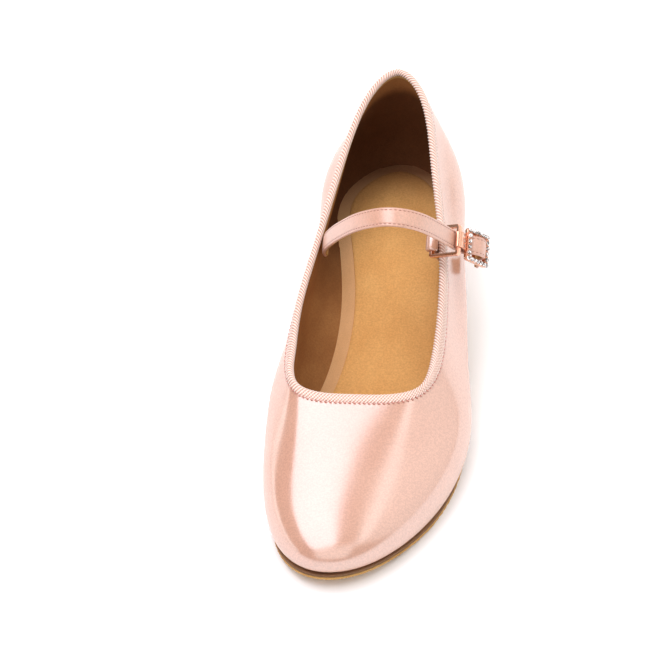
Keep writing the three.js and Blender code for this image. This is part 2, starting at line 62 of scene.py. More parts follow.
# Thicknesses and clearances
WALL = 2
SATIN_WALL = 1.0  # outer share of the wall, the rest is lining
GAP = 0.3
MIDSOLE = 1.6
OUTSOLE = 1.2
SOLE_STACK = MIDSOLE + OUTSOLE + 2 * GAP
SOLE_MARGIN = 1
TOE_WELT = 1.2
BINDING_RADIUS = 1.5
INSOLE_INSET = 2.3
INSOLE_CROWN = 3.2
SOCK_INSET = 7.0  # the suede sock ends this far inside the feather line
SOCK_THICK = 0.55

# Heel
HEEL_BOTTOM_WIDTH = 33
HEEL_BOTTOM_DEPTH = 41
HEEL_BOTTOM_BACK = 111.5
HEEL_HOLLOW = 1.8
HEEL_SQUARENESS = 0.62
LIFT_HEIGHT = 3
LIFT_MARGIN = 0.7

# The strap lies in one plane that leans towards the toe
STRAP_LEAN = math.radians(33)
STRAP_FOOT = (0, 34, 60)
STRAP_WIDTH = 8.5
STRAP_THICK = 2
STRAP_LINING = 0.6
STITCH_INSET = 1.15  # from the strap's edge

# Buckle, in the strap's plane: across the foot, up the plane
RING_INNER = np.array([24.6, 10.5])
RING_OUTER = np.array([36.9, 17.6])
RING_BAR = 1.0
RING_WIDTH = 14.6
RING_CORNER = 0.45
RING_SECTION = (1.5, 2.3)
TAB_WIDTH = 8
TAB_THICK = 1.6
TAB_DEPTH = 16
TAB_SLOPE = 0.1
TAB_LOOP = (22, 254.5)
FRAME_LENGTH = 16.8
FRAME_WIDTH = 14.6
FRAME_SIDE = 1.8
FRAME_THICK = 1.6
FRAME_CORNER = 0.5
FRAME_RUN = FRAME_LENGTH - FRAME_SIDE  # along the middle of its sides
FRAME_SPAN = FRAME_WIDTH - FRAME_SIDE
FRAME_BAR = 0.8
FRAME_BAR_DROP = 1.0
FRAME_AT = np.array([43.3, 4.0])
FRAME_DIRECTION = np.array([0.45, -0.893])
HOOK_WIDTH = 7
HOOK_THICK = 0.8
HOOK_CURL = 95
STONE_RADIUS = 1.12
STONE_HEIGHT = 0.95
STONES_LONG = 7
STONES_SHORT = 6

# Ribs of the last, from the toe tip round the outer side to the heel and back along the inner side
RIB_COLUMNS = (
    "along", "across", "swell", "belly", "crown_in", "crown_up",
    "top_along", "top_across", "top_height", "reach", "tilt",
)
RIBS = np.array([
    (1.0, -8.5, 4, 7, 0.19, 0.62, 0.715, -3.5, 46, 36, 20),  # toe tip
    (0.984, 4, 4.5, 7, 0.19, 0.62, 0.713, 8.5, 46, 34, 21),
    (0.927, 18.5, 4.5, 7, 0.19, 0.62, 0.703, 20, 46, 28, 25),
    (0.816, 34, 4.3, 9.5, 0.18, 0.62, 0.67, 28.5, 45.5, 20, 35),
    (0.669, 42, 4, 13, 0.25, 0.6, 0.595, 32, 46, 16, 55),  # outer ball
    (0.533, 38, 4.5, 15, 0.35, 0.55, 0.484, 32, 51.5, 14, 72),
    (0.386, 33, 5.5, 18, 0.4, 0.52, 0.359, 29.5, 62.5, 14, 82),
    (0.218, 30.5, 4, 20, 0.4, 0.5, 0.2, 22.5, 78, 16, 84),
    (0.071, 23.5, 3.5, 20, 0.4, 0.5, 0.073, 14.5, 95, 18, 70),
    (0.0, 0, 5, 20, 0.4, 0.5, 0.028, 1.5, 100, 20, 67),  # back of the heel
    (0.071, -24, 4.5, 20, 0.4, 0.5, 0.076, -12, 94.5, 18, 70),
    (0.218, -26, 6.5, 20, 0.4, 0.5, 0.199, -22.5, 76, 16, 84),
    (0.386, -20, 10.5, 20, 0.4, 0.52, 0.358, -30, 59, 14, 82),
    (0.533, -25, 9.5, 18, 0.35, 0.55, 0.484, -34, 52, 14, 72),
    (0.69, -36.5, 4.5, 13, 0.25, 0.6, 0.593, -34.5, 47, 16, 55),  # inner ball
    (0.837, -35, 4.3, 9.5, 0.18, 0.62, 0.668, -32, 46, 20, 35),
    (0.937, -28.5, 3.5, 7, 0.19, 0.62, 0.705, -24.5, 46, 28, 25),
    (0.986, -19, 3.5, 7, 0.19, 0.62, 0.715, -14.5, 46, 34, 21),
])
HEEL_RIB = 9
HEEL_SPAN = 3
FOOT_SHARE = 0.6
LOW_GUIDE = (0.75, 0.3)
FULL_GUIDE = (1.3, 1.0)
FLAT_TILT = 28
STEEP_TILT = 70
# The satin is drawn taut: the swell and the run into the topline stay apart, as shares of the wall
BELLY_SHARE = 0.33
RUN_SHARE = 0.24

# The strap's middle: across the foot, up the plane
STRAP_PATH = np.array([
    (-25.4, -7), (-25.3, -1.5), (-22.8, 7.5), (-16.5, 22), (-6, 40),
    (5, 50.5), (14, 52), (22, 46), (28.5, 33.5), (34.8, 16.5),
])
STRAP_TAIL = np.array([(43.2, -12), (41.4, -20)])
# The strap's middle over the frame's bar: along the frame, out of its face
STRAP_BULGE = np.array([
    (-9.5, -2.7), (-6.6, -2.5), (-5.2, -0.9), (-4.3, 0.9), (-2.4, 2.3), (0, 2.8),
    (2.4, 2.4), (4.3, 1.0), (5.1, -0.8), (6.2, -2.5), (8.2, -3.2),
])

# Soft creases of the satin. Sides are +1 outer and -1 inner, heights are shares of the wall,
# and depth and width are the trough's.
CREASE_COLUMNS = ("side", "along_a", "height_a", "along_b", "height_b", "depth", "width")
CREASES = [
    (1, 0.08, 0.85, 0.30, 0.55, 0.14, 6.0),
    (1, 0.12, 0.45, 0.38, 0.35, 0.12, 7.0),
    (-1, 0.08, 0.80, 0.28, 0.55, 0.14, 6.0),
    (-1, 0.30, 0.30, 0.50, 0.45, 0.16, 6.0),
]

CREASE_RIDGE = 0.5  # height of the ridge beside a crease, as a share of its depth
CREASE_RIDGE_AT = 1.9  # and its distance, as a multiple of the crease's width

LIFT_LOW, LIFT_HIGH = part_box("heel_top_lift")
SHIFT = np.array([
    (LIFT_LOW.x + LIFT_HIGH.x) / 2 / MM,
    LIFT_HIGH.y / MM - HEEL_BOTTOM_BACK - LIFT_MARGIN,
    0,
])
UP = np.array([0.0, 0.0, 1.0])


def unit(vectors):
    """Vectors along the last axis, at length one."""
    return vectors / np.linalg.norm(vectors, axis=-1, keepdims=True)


def lerp(a, b, share):
    return a + (b - a) * share


def smooth_step(share):
    share = np.clip(share, 0, 1)
    return share * share * (3 - 2 * share)


def soft_min(a, b, soft=1.5):
    """The smaller of two values, with a soft turn from one to the other."""
    return -soft * np.log(np.exp(-a / soft) + np.exp(-b / soft))


def circle(turn):
    """Points of a circle of radius one, at given angles."""
    return np.stack([np.cos(turn), np.sin(turn)], axis=1)


def path_lengths(points):
    """Length along a polyline up to each of its points."""
    return np.append(0, np.cumsum(np.linalg.norm(np.diff(points, axis=0), axis=1)))


# The last

def closed_spline(knots, period, rows):
    """Closed cubic spline through rows of values, as a function of places along it."""
    index = np.arange(len(rows))
    before, after = np.roll(index, 1), np.roll(index, -1)
    step = np.diff(np.append(knots, period))
    matrix = np.zeros((len(rows), len(rows)))
    matrix[index, index] = 2 * (step[before] + step)
    matrix[index, before] += step[before]
    matrix[index, after] += step
    slope = (rows[after] - rows) / step[:, None]
    bend = np.linalg.solve(matrix, 6 * (slope - slope[before]))

    def curve(place):
        at = np.mod(place, period)
        i = np.searchsorted(knots, at, side="right") - 1
        j = after[i]
        b = ((at - knots[i]) / step[i])[:, None]
        a = 1 - b
        scale = (step[i] ** 2 / 6)[:, None]
        return a * rows[i] + b * rows[j] + ((a**3 - a) * bend[i] + (b**3 - b) * bend[j]) * scale

    return curve


def chords(along, across):
    """Distances between neighbouring ribs, by two of their columns."""
    column = RIB_COLUMNS.index
    places = np.stack([RIBS[:, column(across)], LENGTH * RIBS[:, column(along)]], axis=1)
    return np.linalg.norm(np.roll(places, -1, axis=0) - places, axis=1)


FOOT_CHORDS = chords("along", "across")
TOP_CHORDS = chords("top_along", "top_across")
RIB_STEPS = lerp(TOP_CHORDS * FOOT_CHORDS.sum() / TOP_CHORDS.sum(), FOOT_CHORDS, FOOT_SHARE)
RIB_KNOTS = np.cumsum(RIB_STEPS) - RIB_STEPS
RIB_PERIOD = RIB_STEPS.sum()
RIB_CURVE = closed_spline(RIB_KNOTS, RIB_PERIOD, RIBS)


def y_at(along):
    return LENGTH * (0.5 - along)


def along_at(y):
    return 0.5 - y / LENGTH


def seat_at(along):
    """Height of the feather line: heel seat, arch, flat ball and toe spring."""
    spring = np.clip((along - SPRING_AT) / (1 - SPRING_AT), 0, None)
    heel_seat = HEEL_HEIGHT - SEAT_SLOPE * LENGTH * along
    breast_seat = HEEL_HEIGHT - SEAT_SLOPE * LENGTH * BREAST_AT
    span = BALL_AT - BREAST_AT
    t = np.clip((along - BREAST_AT) / span, 0, 1)
    start = 2 * t**3 - 3 * t**2 + 1
    slope = (t**3 - 2 * t**2 + t) * LENGTH * span * SEAT_SLOPE
    sole = start * breast_seat - slope + (1 - start) * SOLE_STACK + TOE_SPRING * spring**2
    return np.where(along <= BREAST_AT, heel_seat, sole)


def rib_at(place):
    return dict(zip(RIB_COLUMNS, RIB_CURVE(place).T))


def outward_at(place, nudge=0.05):
    """Outward direction of the feather line, level with the floor."""
    before, after = rib_at(place - nudge), rib_at(place + nudge)
    run_x = after["across"] - before["across"]
    run_y = y_at(after["along"]) - y_at(before["along"])
    return unit(np.stack([run_y, -run_x, 0 * run_x], axis=1))


def guide_points(place):
    """Six guide points of each rib: foot, two over the swell, turn, run into the topline, top."""
    rib = {name: values[:, None] for name, values in rib_at(place).items()}
    outward = outward_at(place)
    foot = np.hstack([rib["across"], y_at(rib["along"]), seat_at(rib["along"])])
    top = np.hstack([rib["top_across"], y_at(rib["top_along"]), rib["top_height"]])
    rise = (top - foot)[:, 2:]
    belly = soft_min(rib["belly"], BELLY_SHARE * rise)
    low, full = (
        foot + outward * out * rib["swell"] + UP * up * belly
        for out, up in (LOW_GUIDE, FULL_GUIDE)
    )
    level = unit((foot - top) * np.array([1, 1, 0]))
    steep = smooth_step((rib["tilt"] - FLAT_TILT) / (STEEP_TILT - FLAT_TILT))
    away = unit(lerp(level, outward, steep))
    tilt = np.radians(rib["tilt"])
    reach = lerp(rib["reach"], soft_min(rib["reach"], RUN_SHARE * rise / np.sin(tilt)), steep)
    run = top + reach * (away * np.cos(tilt) - UP * np.sin(tilt))
    share = np.hstack([rib["crown_in"], rib["crown_in"], rib["crown_up"]])
    return np.stack([foot, low, full, lerp(full, run, share), run, top], axis=1)


GUIDE_KNOTS = np.array([0, 0, 0, 0, 1 / 3, 2 / 3, 1, 1, 1, 1])


def guide_weights(t):
    """Weights of the guide points at shares of the way up the wall, for a clamped cubic B-spline."""
    t = np.minimum(np.asarray(t, float), 1 - 1e-9)[:, None]
    weights = ((t >= GUIDE_KNOTS[:-1]) & (t < GUIDE_KNOTS[1:])).astype(float)
    for degree in (1, 2, 3):
        start, end = GUIDE_KNOTS[: -degree - 1], GUIDE_KNOTS[degree:-1]
        next_start, next_end = GUIDE_KNOTS[1:-degree], GUIDE_KNOTS[degree + 1:]
        rising = np.where(end > start, (t - start) / np.where(end > start, end - start, 1), 0)
        span = np.where(next_end > next_start, next_end - next_start, 1)
        falling = np.where(next_end > next_start, (next_end - t) / span, 0)
        weights = rising * weights[:, :-1] + falling * weights[:, 1:]
    return weights


def last_points(place, t):
    """Points of the last, one row for each place round it and one column for each height."""
    return np.einsum("ngc,mg->nmc", guide_points(place), guide_weights(t))


def last_normals(place, t, nudge=0.05, nudge_up=0.01):
    around = last_points(place + nudge, t) - last_points(place - nudge, t)
    low, high = np.maximum(t - nudge_up, 0), np.minimum(t + nudge_up, 1)
    return unit(np.cross(around, last_points(place, high) - last_points(place, low)))


def even_places(count):
    return np.arange(count) * RIB_PERIOD / count


def topline_frame(place):
    """Topline points with their outward normal, rising direction and run along the line."""
    top, below = np.moveaxis(last_points(place, np.array([1.0, 0.98])), 1, 0)
    normal = last_normals(place, np.array([1.0]))[:, 0]
    rising = unit(top - below)
    return top, normal, rising, unit(np.cross(rising, normal))


def topline_walk(count=2000):
    """Places once round the topline, and the length walked up to each."""
    dense = np.append(even_places(count), RIB_PERIOD)
    return dense, path_lengths(last_points(dense, np.array([1.0]))[:, 0])


def topline_places(count):
    """Places that are evenly spaced along the topline."""
    dense, length = topline_walk()
    return np.interp(np.arange(count) / count * length[-1], length, dense)


def topline_length():
    return topline_walk()[1][-1]


def wall_point(side, along, height, count=600):
    """Point on one side of the last at a place along the foot and a share of the wall's height."""
    heel = RIB_KNOTS[HEEL_RIB]
    start, end = (0, heel) if side > 0 else (heel, RIB_PERIOD)
    dense = np.linspace(start, end, count)
    nearest = np.abs(rib_at(dense)["along"] - along).argmin()
    return last_points(dense[nearest:nearest + 1], np.array([height]))[0, 0]


def crease_depths(points):
    """How far each point of the satin moves out along its normal for the soft creases."""
    moved = np.zeros(points.shape[:-1])
    for row in CREASES:
        crease = dict(zip(CREASE_COLUMNS, row))
        start = wall_point(crease["side"], crease["along_a"], crease["height_a"])
        end = wall_point(crease["side"], crease["along_b"], crease["height_b"])
        run = end - start
        share = np.clip((points - start) @ run / (run @ run), 0, 1)
        away = np.linalg.norm(points - start - share[..., None] * run, axis=-1) / crease["width"]
        ends = 1 - (2 * share - 1) ** 4
        profile = CREASE_RIDGE * np.exp(-((away - CREASE_RIDGE_AT) ** 2)) - np.exp(-(away**2))
        moved += crease["depth"] * ends * profile
    return moved


# Meshes

def grid_faces(rows, columns, loop_rows, loop_columns):
    """Quads over a grid of points, closed into a loop either way."""
    r = np.arange(rows if loop_rows else rows - 1)[:, None]
    c = np.arange(columns if loop_columns else columns - 1)[None, :]
    r2, c2 = (r + 1) % rows, (c + 1) % columns
    corners = [r * columns + c, r2 * columns + c, r2 * columns + c2, r * columns + c2]
    return np.stack([corner.ravel() for corner in corners], axis=1).tolist()


class Pile:
    """Points and faces of one piece, gathered from several forms."""

    def __init__(self):
        self.points = []
        self.faces = []
        self.values = []
        self.count = 0

    def add(self, points, faces, values=None):
        points = np.asarray(points, float).reshape(-1, 3)
        self.faces += [[corner + self.count for corner in face] for face in faces]
        self.points.append(points)
        self.values.append(np.zeros(len(points)) if values is None else np.ravel(values))
        self.count += len(points)

    def loft(self, rings, looped=False, values=None, caps=None):
        """Rings of points joined into a tube, closed on itself or capped at both ends."""
        rows, columns = rings.shape[:2]
        faces = grid_faces(rows, columns, looped, True)
        if not looped:
            last = (rows - 1) * columns
            for cap in caps or [range(columns)]:
                faces.append(list(cap)[::-1])
                faces.append([last + i for i in cap])
        self.add(rings, faces, values)


def lofted(rings, **options):
    """A pile that holds one tube."""
    pile = Pile()
    pile.loft(rings, **options)
    return pile


def make_piece(name, pile, material, nodes=(), sharp=40, grain=None):
    """Blender object from a pile, riding on the shoe and standing for its solids."""
    points = (np.concatenate(pile.points) + SHIFT) * MM
    mesh = bpy.data.meshes.new(name)
    mesh.from_pydata(points.tolist(), [], pile.faces)
    mesh.validate()
    piece = bpy.data.objects.new(name, mesh)
    bpy.context.scene.collection.objects.link(piece)
    bpy.context.view_layer.objects.active = piece
    piece.select_set(True)
    bpy.ops.object.mode_set(mode="EDIT")
    bpy.ops.mesh.select_all(action="SELECT")
    bpy.ops.mesh.normals_make_consistent(inside=False)
    bpy.ops.object.mode_set(mode="OBJECT")
    piece.select_set(False)
    mesh.polygons.foreach_set("use_smooth", np.ones(len(mesh.polygons), bool))
    mesh.set_sharp_from_angle(angle=math.radians(sharp))
    shade = mesh.attributes.new("shade", "FLOAT", "POINT")
    shade.data.foreach_set("value", np.concatenate(pile.values).astype(np.float32))
    if grain is not None:
        threads = mesh.attributes.new("grain", "FLOAT_VECTOR", "POINT")
        threads.data.foreach_set("vector", grain.reshape(-1).astype(np.float32))
    mesh.materials.append(material)
    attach(piece, "root")
    if nodes:
        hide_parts(*nodes)
    return piece


def rounded_section(width, height, radius, steps=4):
    """Closed outline of a rectangle with round corners, about its middle."""
    corners = []
    for turn, (sx, sy) in enumerate([(1, 1), (-1, 1), (-1, -1), (1, -1)]):
        angles = (turn + np.linspace(0, 1, steps + 1)) * math.pi / 2
        middle = np.array([sx * (width / 2 - radius), sy * (height / 2 - radius)])
        corners.append(middle + radius * circle(angles))
    return np.concatenate(corners)


def even_path(points, count):
    """Points evenly spaced along a polyline."""
    length = path_lengths(points)
    at = np.linspace(0, length[-1], count)
    return np.stack([np.interp(at, length, points[:, c]) for c in range(points.shape[1])], axis=1)


def catmull_path(points, per_span=40):
    """Smooth curve through points."""
    padded = np.concatenate([points[:1], points, points[-1:]])
    spans = []
    for i in range(len(points) - 1):
        p0, p1, p2, p3 = padded[i:i + 4]
        v0, v1 = (p2 - p0) / 2, (p3 - p1) / 2
        t = np.arange(per_span)[:, None] / per_span
        curve = (2 * t**3 - 3 * t**2 + 1) * p1 + (t**3 - 2 * t**2 + t) * v0
        spans.append(curve + (3 * t**2 - 2 * t**3) * p2 + (t**3 - t**2) * v1)
    return np.concatenate([*spans, points[-1:]])


def path_sides(path):
    """Left side of a path in a plane, at each of its points."""
    run = unit(np.gradient(path, axis=0))
    return np.stack([-run[:, 1], run[:, 0]], axis=1)


def strap_world(across, rise, depth):
    """Points of the strap's leaning plane, with depth towards the toe, in the last's frame."""
    sine, cosine = math.sin(STRAP_LEAN), math.cos(STRAP_LEAN)
    x0, y0, z0 = STRAP_FOOT
    return np.stack(
        [x0 + across, y0 - rise * sine - depth * cosine, z0 + rise * cosine - depth * sine], axis=-1
    )


def band_rings(path, section):
    """Rings of a band along a path in the strap's plane. Section columns: across the strap, out."""
    side = path_sides(path)
    across = path[:, None, 0] + side[:, None, 0] * section[None, :, 1]
    rise = path[:, None, 1] + side[:, None, 1] * section[None, :, 1]
    return strap_world(across, rise, np.broadcast_to(section[None, :, 0], across.shape))


def stitch_form(stations=7, sides=6):
    """One stitch: a short bulging thread along X, one unit long and one wide and high."""
    along = np.linspace(-0.5, 0.5, stations)
    bulge = 0.5 * np.sqrt(np.clip(1 - (1.9 * along) ** 2, 0.05, 1))
    turn = np.arange(sides) * 2 * math.pi / sides
    ring = np.stack([0 * turn, np.cos(turn), np.sin(turn)], axis=1)
    return ring[None] * bulge[:, None, None] + along[:, None, None] * np.array([1, 0, 0])


def add_stitches(pile, middles, runs, normals, size):
    """Stitches of one length, width and height, at given places and along given runs."""
    form = stitch_form()
    length, width, height = size
    sides = np.cross(normals, runs)
    for middle, run, side, normal in zip(middles, runs, sides, normals):
        axes = np.stack([run * length, side * width, normal * height])
        pile.loft(form @ axes + middle)


# Materials

class Look:
    """A node material in the making, with its main shader."""

    def __init__(self, name, **sockets):
        self.material = bpy.data.materials.new(name)
        self.material.use_nodes = True
        self.nodes = self.material.node_tree.nodes
        self.shader = self.nodes["Principled BSDF"]
        self.place = self.node("TexCoord").outputs["Object"]
        self.set(**sockets)

    def feed(self, socket, value):
        """Set an input to a value, or link another socket to it."""
        if isinstance(value, bpy.types.NodeSocket):
            self.material.node_tree.links.new(value, socket)
        else:
            socket.default_value = value

    def set(self, **sockets):
        """Feed the main shader. Names have low lines for spaces."""
        for name, value in sockets.items():
            self.feed(self.shader.inputs[name.replace("_", " ")], value)

    def node(self, kind, **sockets):
        """New node with its inputs fed."""
        node = self.nodes.new("ShaderNode" + kind)
        for name, value in sockets.items():
            self.feed(node.inputs[name], value)
        return node

    def noise(self, scale, detail=3, rough=0.55, seed=0.0):
        """Noise over the piece. Scale is repeats a metre, one for all axes or one for each."""
        scale = scale if isinstance(scale, tuple) else 3 * (scale,)
        mapping = self.node("Mapping", Vector=self.place, Scale=scale, Location=3 * (seed,))
        place = mapping.outputs["Vector"]
        texture = self.node("TexNoise", Vector=place, Scale=1, Detail=detail, Roughness=rough)
        return texture.outputs["Fac"]

    def attribute(self, name, output="Fac"):
        node = self.node("Attribute")
        node.attribute_name = name
        return node.outputs[output]

    def ramp(self, factor, stops):
        """Colours or greys at given factors."""
        node = self.node("ValToRGB", Fac=factor)
        elements = node.color_ramp.elements
        while len(elements) < len(stops):
            elements.new(0.5)
        for element, (position, color) in zip(elements, stops):
            element.position = position
            element.color = (*color, 1) if isinstance(color, tuple) else (color, color, color, 1)
        return node.outputs["Color"]

    def blend(self, kind, factor, *colors):
        """Two colours mixed. Factor is a number or a socket."""
        node = self.node("Mix", Factor=factor)
        node.data_type = "RGBA"
        node.blend_type = kind
        for socket, color in zip([s for s in node.inputs if s.type == "RGBA"], colors):
            self.feed(socket, (*color, 1) if isinstance(color, tuple) else color)
        return next(s for s in node.outputs if s.type == "RGBA")

    def paint(self, tone, factor, stops, painted_shade=None):
        """Base colour: a tone, darkened by greys at given factors, and by painted shade where the
        shade attribute tells it.
        """
        tone = self.blend("MULTIPLY", 1.0, tone, self.ramp(factor, stops))
        if painted_shade:
            tone = self.blend("MULTIPLY", self.attribute("shade"), tone, painted_shade)
        self.set(Base_Color=tone)

    def bump(self, *layers):
        """Bumps on one another. Each layer is a height, its depth in metres and its strength."""
        below = None
        for height, depth, strength in layers:
            node = self.node("Bump", Distance=depth, Strength=strength, Height=height)
            if below:
                self.feed(node.inputs["Normal"], below)
            below = node.outputs["Normal"]
        self.set(Normal=below)


def satin_look(name, threads, directed=False, roughness=0.2, ior=2.8):
    """Pink satin. Threads are repeats a metre along each axis, for the warp and then the weft."""
    look = Look(
        name, Roughness=roughness, IOR=ior,
        Sheen_Weight=0.2, Sheen_Roughness=0.35, Sheen_Tint=(1.0, 0.87, 0.82, 1),
    )
    cloud = look.noise(28, detail=2)
    tone = look.ramp(cloud, [(0.4, (0.61, 0.305, 0.202)), (0.6, (0.63, 0.33, 0.225))])
    warp = look.noise(threads[0], detail=2)
    weft = look.noise(threads[1], detail=2, seed=3.1)
    cloth = look.blend("MIX", 0.5, warp, weft)
    look.paint(tone, cloth, [(0.42, 0.84), (0.58, 1.0)])
    if directed:
        look.set(Anisotropic=0.6, Tangent=look.attribute("grain", "Vector"))
    look.bump((cloth, 0.00006, 0.6))
    return look.material


def cord_look():
    """Twisted cord, with painted shade deepening into the valleys between its ribs."""
    look = Look(
        "ribbed_cord", Roughness=0.5, IOR=1.5,
        Sheen_Weight=0.4, Sheen_Roughness=0.4, Sheen_Tint=(1.0, 0.9, 0.85, 1),
    )
    valley_shade, flank, rib = (0.36, 0.14, 0.09), (0.80, 0.53, 0.43), (0.90, 0.77, 0.69)
    tone = look.ramp(look.attribute("shade"), [(0.05, valley_shade), (0.5, flank), (0.85, rib)])
    fibre = look.noise(2500, detail=2)
    look.paint(tone, fibre, [(0.2, 0.9), (0.8, 1.0)])
    look.bump((fibre, 0.0001, 0.3))
    return look.material


def suede_look(name, low, high, nap=1200, depth=0.00012, patch=60, painted_shade=None):
    """Napped suede, with fibres and brushed patches, and with painted shade where the shade attribute
    tells it.
    """
    look = Look(
        name, Roughness=0.95, IOR=1.45, Specular_IOR_Level=0.2,
        Sheen_Weight=0.2, Sheen_Roughness=0.6, Sheen_Tint=(*high, 1),
    )
    fibre = look.noise(nap, detail=4, rough=0.65)
    brushed = look.noise((patch, patch * 0.6, patch), detail=3)
    tone = look.ramp(brushed, [(0.3, low), (0.7, high)])
    look.paint(tone, fibre, [(0.35, 0.8), (0.65, 1.0)], painted_shade)
    look.bump((fibre, depth, 0.6))
    return look.material


def leather_edge_look():
    """Dark leather edge with fine layers along it."""
    look = Look("dark_leather_edge", Roughness=0.72, IOR=1.45)
    layers = look.noise((90, 90, 2600), detail=3)
    specks = look.noise(1500, detail=3)
    tone = look.ramp(layers, [(0.3, (0.15, 0.064, 0.024)), (0.7, (0.27, 0.13, 0.052))])
    look.paint(tone, specks, [(0.2, 0.7), (0.7, 1.0)])
    look.bump((layers, 0.0001, 0.5), (specks, 0.00008, 0.4))
    return look.material


def lift_look():
    """Heel lift: golden suede, dark on the face under the breast."""
    look = Look("heel_lift", Roughness=0.9, IOR=1.45, Sheen_Weight=0.25)
    fibre = look.noise(2400, detail=4, rough=0.65)
    golden, dark = (0.50, 0.29, 0.11), (0.15, 0.07, 0.03)
    tone = look.ramp(look.attribute("shade"), [(0.3, golden), (0.8, dark)])
    look.paint(tone, fibre, [(0.25, 0.6), (0.75, 1.0)])
    look.bump((fibre, 0.00012, 0.7))
    return look.material


def metal_look():
    """Polished rose gold plating."""
    look = Look("rose_gold_plate", Metallic=1.0)
    smear = look.noise(350, detail=3)
    look.set(Base_Color=look.ramp(smear, [(0.3, (0.80, 0.42, 0.28)), (0.7, (0.88, 0.50, 0.35))]))
    look.set(Roughness=look.ramp(smear, [(0.3, 0.10), (0.7, 0.2)]))
    return look.material


def stone_look():
    """Cut clear stones with a bright foil behind, and painted reflections: facets darker or brighter
    at random.
    """
    look = Look(
        "cut_stone", Metallic=0.85, Roughness=0.04, IOR=1.6, Coat_Weight=1.0, Coat_Roughness=0.02
    )
    dark, bright = (0.20, 0.15, 0.13), (0.97, 0.95, 0.93)
    facet_reflection = look.ramp(look.attribute("shade"), [(0.3, dark), (0.6, bright)])
    look.paint(facet_reflection, look.noise(900, detail=1), [(0.35, 0.75), (0.65, 1.0)])
    return look.material


def thread_look(name, low, high):
    """Sewing thread, with its twist."""
    look = Look(name, Roughness=0.6, IOR=1.45, Sheen_Weight=0.2)
    twist = look.noise(1800, detail=2)
    look.set(Base_Color=look.ramp(twist, [(0.3, low), (0.7, high)]))
    look.bump((twist, 0.00006, 0.4))
    return look.material


WARP_LENGTHWISE = ((1900, 900, 1900), (900, 1900, 900))
WARP_UPRIGHT = ((1900, 1900, 900), (900, 900, 1900))
WARP_ACROSS = ((900, 1900, 1900), (1900, 900, 900))
# Tone of the painted shade deep in the heel's lining
LINING_PAINTED_SHADE = (0.33, 0.26, 0.27)
# Tone of the painted shade on the heel seat
SEAT_PAINTED_SHADE = (0.28, 0.21, 0.19)
SATIN = satin_look("satin", WARP_LENGTHWISE, directed=True)
HEEL_SATIN = satin_look("heel_satin", WARP_UPRIGHT)
STRAP_SATIN = satin_look("strap_satin", WARP_ACROSS, roughness=0.36, ior=2.3)
TAB_SATIN = satin_look("tab_satin", WARP_ACROSS, roughness=0.2, ior=3.0)
CORD = cord_look()
LINING = suede_look("lining_suede", (0.30, 0.12, 0.038), (0.39, 0.172, 0.058), painted_shade=LINING_PAINTED_SHADE)
LINING_EDGE = suede_look("lining_edge", (0.42, 0.225, 0.076), (0.52, 0.30, 0.112))
SOCK = suede_look(
    "sock_suede", (0.67, 0.335, 0.108), (0.74, 0.395, 0.138), depth=0.0003, painted_shade=SEAT_PAINTED_SHADE
)
RIM = suede_look(
    "insole_rim", (0.66, 0.36, 0.16), (0.71, 0.40, 0.195), nap=3200, depth=0.00008, painted_shade=SEAT_PAINTED_SHADE
)
SOLE_EDGE = leather_edge_look()
SOLE_NAP = suede_look("sole_nap", (0.54, 0.29, 0.095), (0.70, 0.41, 0.155), nap=1800, depth=0.0003)
LIFT = lift_look()
ROSE_GOLD = metal_look()
STONE = stone_look()
SEAM_THREAD = thread_look("seam_thread", (0.42, 0.16, 0.12), (0.56, 0.25, 0.20))
STRAP_THREAD = thread_look("strap_thread", (0.28, 0.12, 0.09), (0.40, 0.19, 0.15))


# Upper

AROUND = 720
UP_OUTER = np.concatenate([np.linspace(0, 0.9, 46), np.linspace(0.91, 1, 12)])
UP_HIDDEN = np.linspace(1, 0, 11)
CREASE_FADE = 0.1  # creases die out over this share of the wall, at its foot and at its top
WARP_RUN = np.array([0.0, -1.0, -0.35])  # the satin's warp, before it is laid on the wall
LINING_AROUND = 360
UP_LINING = np.linspace(0, 1, 50)
LINING_APART = 0.05  # between the lining's back and the satin's
# Painted shade darkens the lining at the heel, from a place along the foot and over a length,
# and leaves it golden near the topline, from a share of the wall and over a share
DARK_FROM, DARK_OVER = 0.42, 0.25
GOLDEN_FROM, GOLDEN_OVER = 0.84, 0.1


def upper_satin():
    """Outer shell of satin, from the feather line to the topline."""
    place = even_places(AROUND)
    outer = last_points(place, UP_OUTER)
    normals = last_normals(place, UP_OUTER)
    fade = np.clip((1 - UP_OUTER) / CREASE_FADE, 0, 1) * np.clip(UP_OUTER / CREASE_FADE, 0, 1)
    outer = outer + normals * (crease_depths(outer) * fade)[..., None]
    back = last_normals(place, UP_HIDDEN)
    inner = last_points(place, UP_HIDDEN) - SATIN_WALL * back
    pile = lofted(np.concatenate([outer, inner], axis=1), looped=True)
    normals = np.concatenate([normals, back], axis=1)
    grain = unit(WARP_RUN - normals * (normals @ WARP_RUN)[..., None])
    make_piece("upper_satin", pile, SATIN, ["upper"], grain=grain)


def upper_lining():
    """Suede lining inside the satin, with painted shade deep in the heel."""
    place = even_places(LINING_AROUND)
    inner = last_points(place, UP_LINING) - WALL * last_normals(place, UP_LINING)
    inset = SATIN_WALL + LINING_APART
    hidden = last_points(place, UP_HIDDEN) - inset * last_normals(place, UP_HIDDEN)
    rings = np.concatenate([inner, hidden], axis=1)
    heel = smooth_step((DARK_FROM - along_at(rings[..., 1])) / DARK_OVER)
    deep = np.append(1 - smooth_step((UP_LINING - GOLDEN_FROM) / GOLDEN_OVER), 0 * UP_HIDDEN)
    pile = lofted(rings, looped=True, values=heel * deep)
    make_piece("upper_lining", pile, LINING)


def topline_sweep(place, section):
    """Rings round the topline. Section columns: out from the satin's face, up from its edge."""
    top, normal, rising, _ = topline_frame(place)
    return top[:, None] + normal[:, None] * section[..., :1] + rising[:, None] * section[..., 1:]


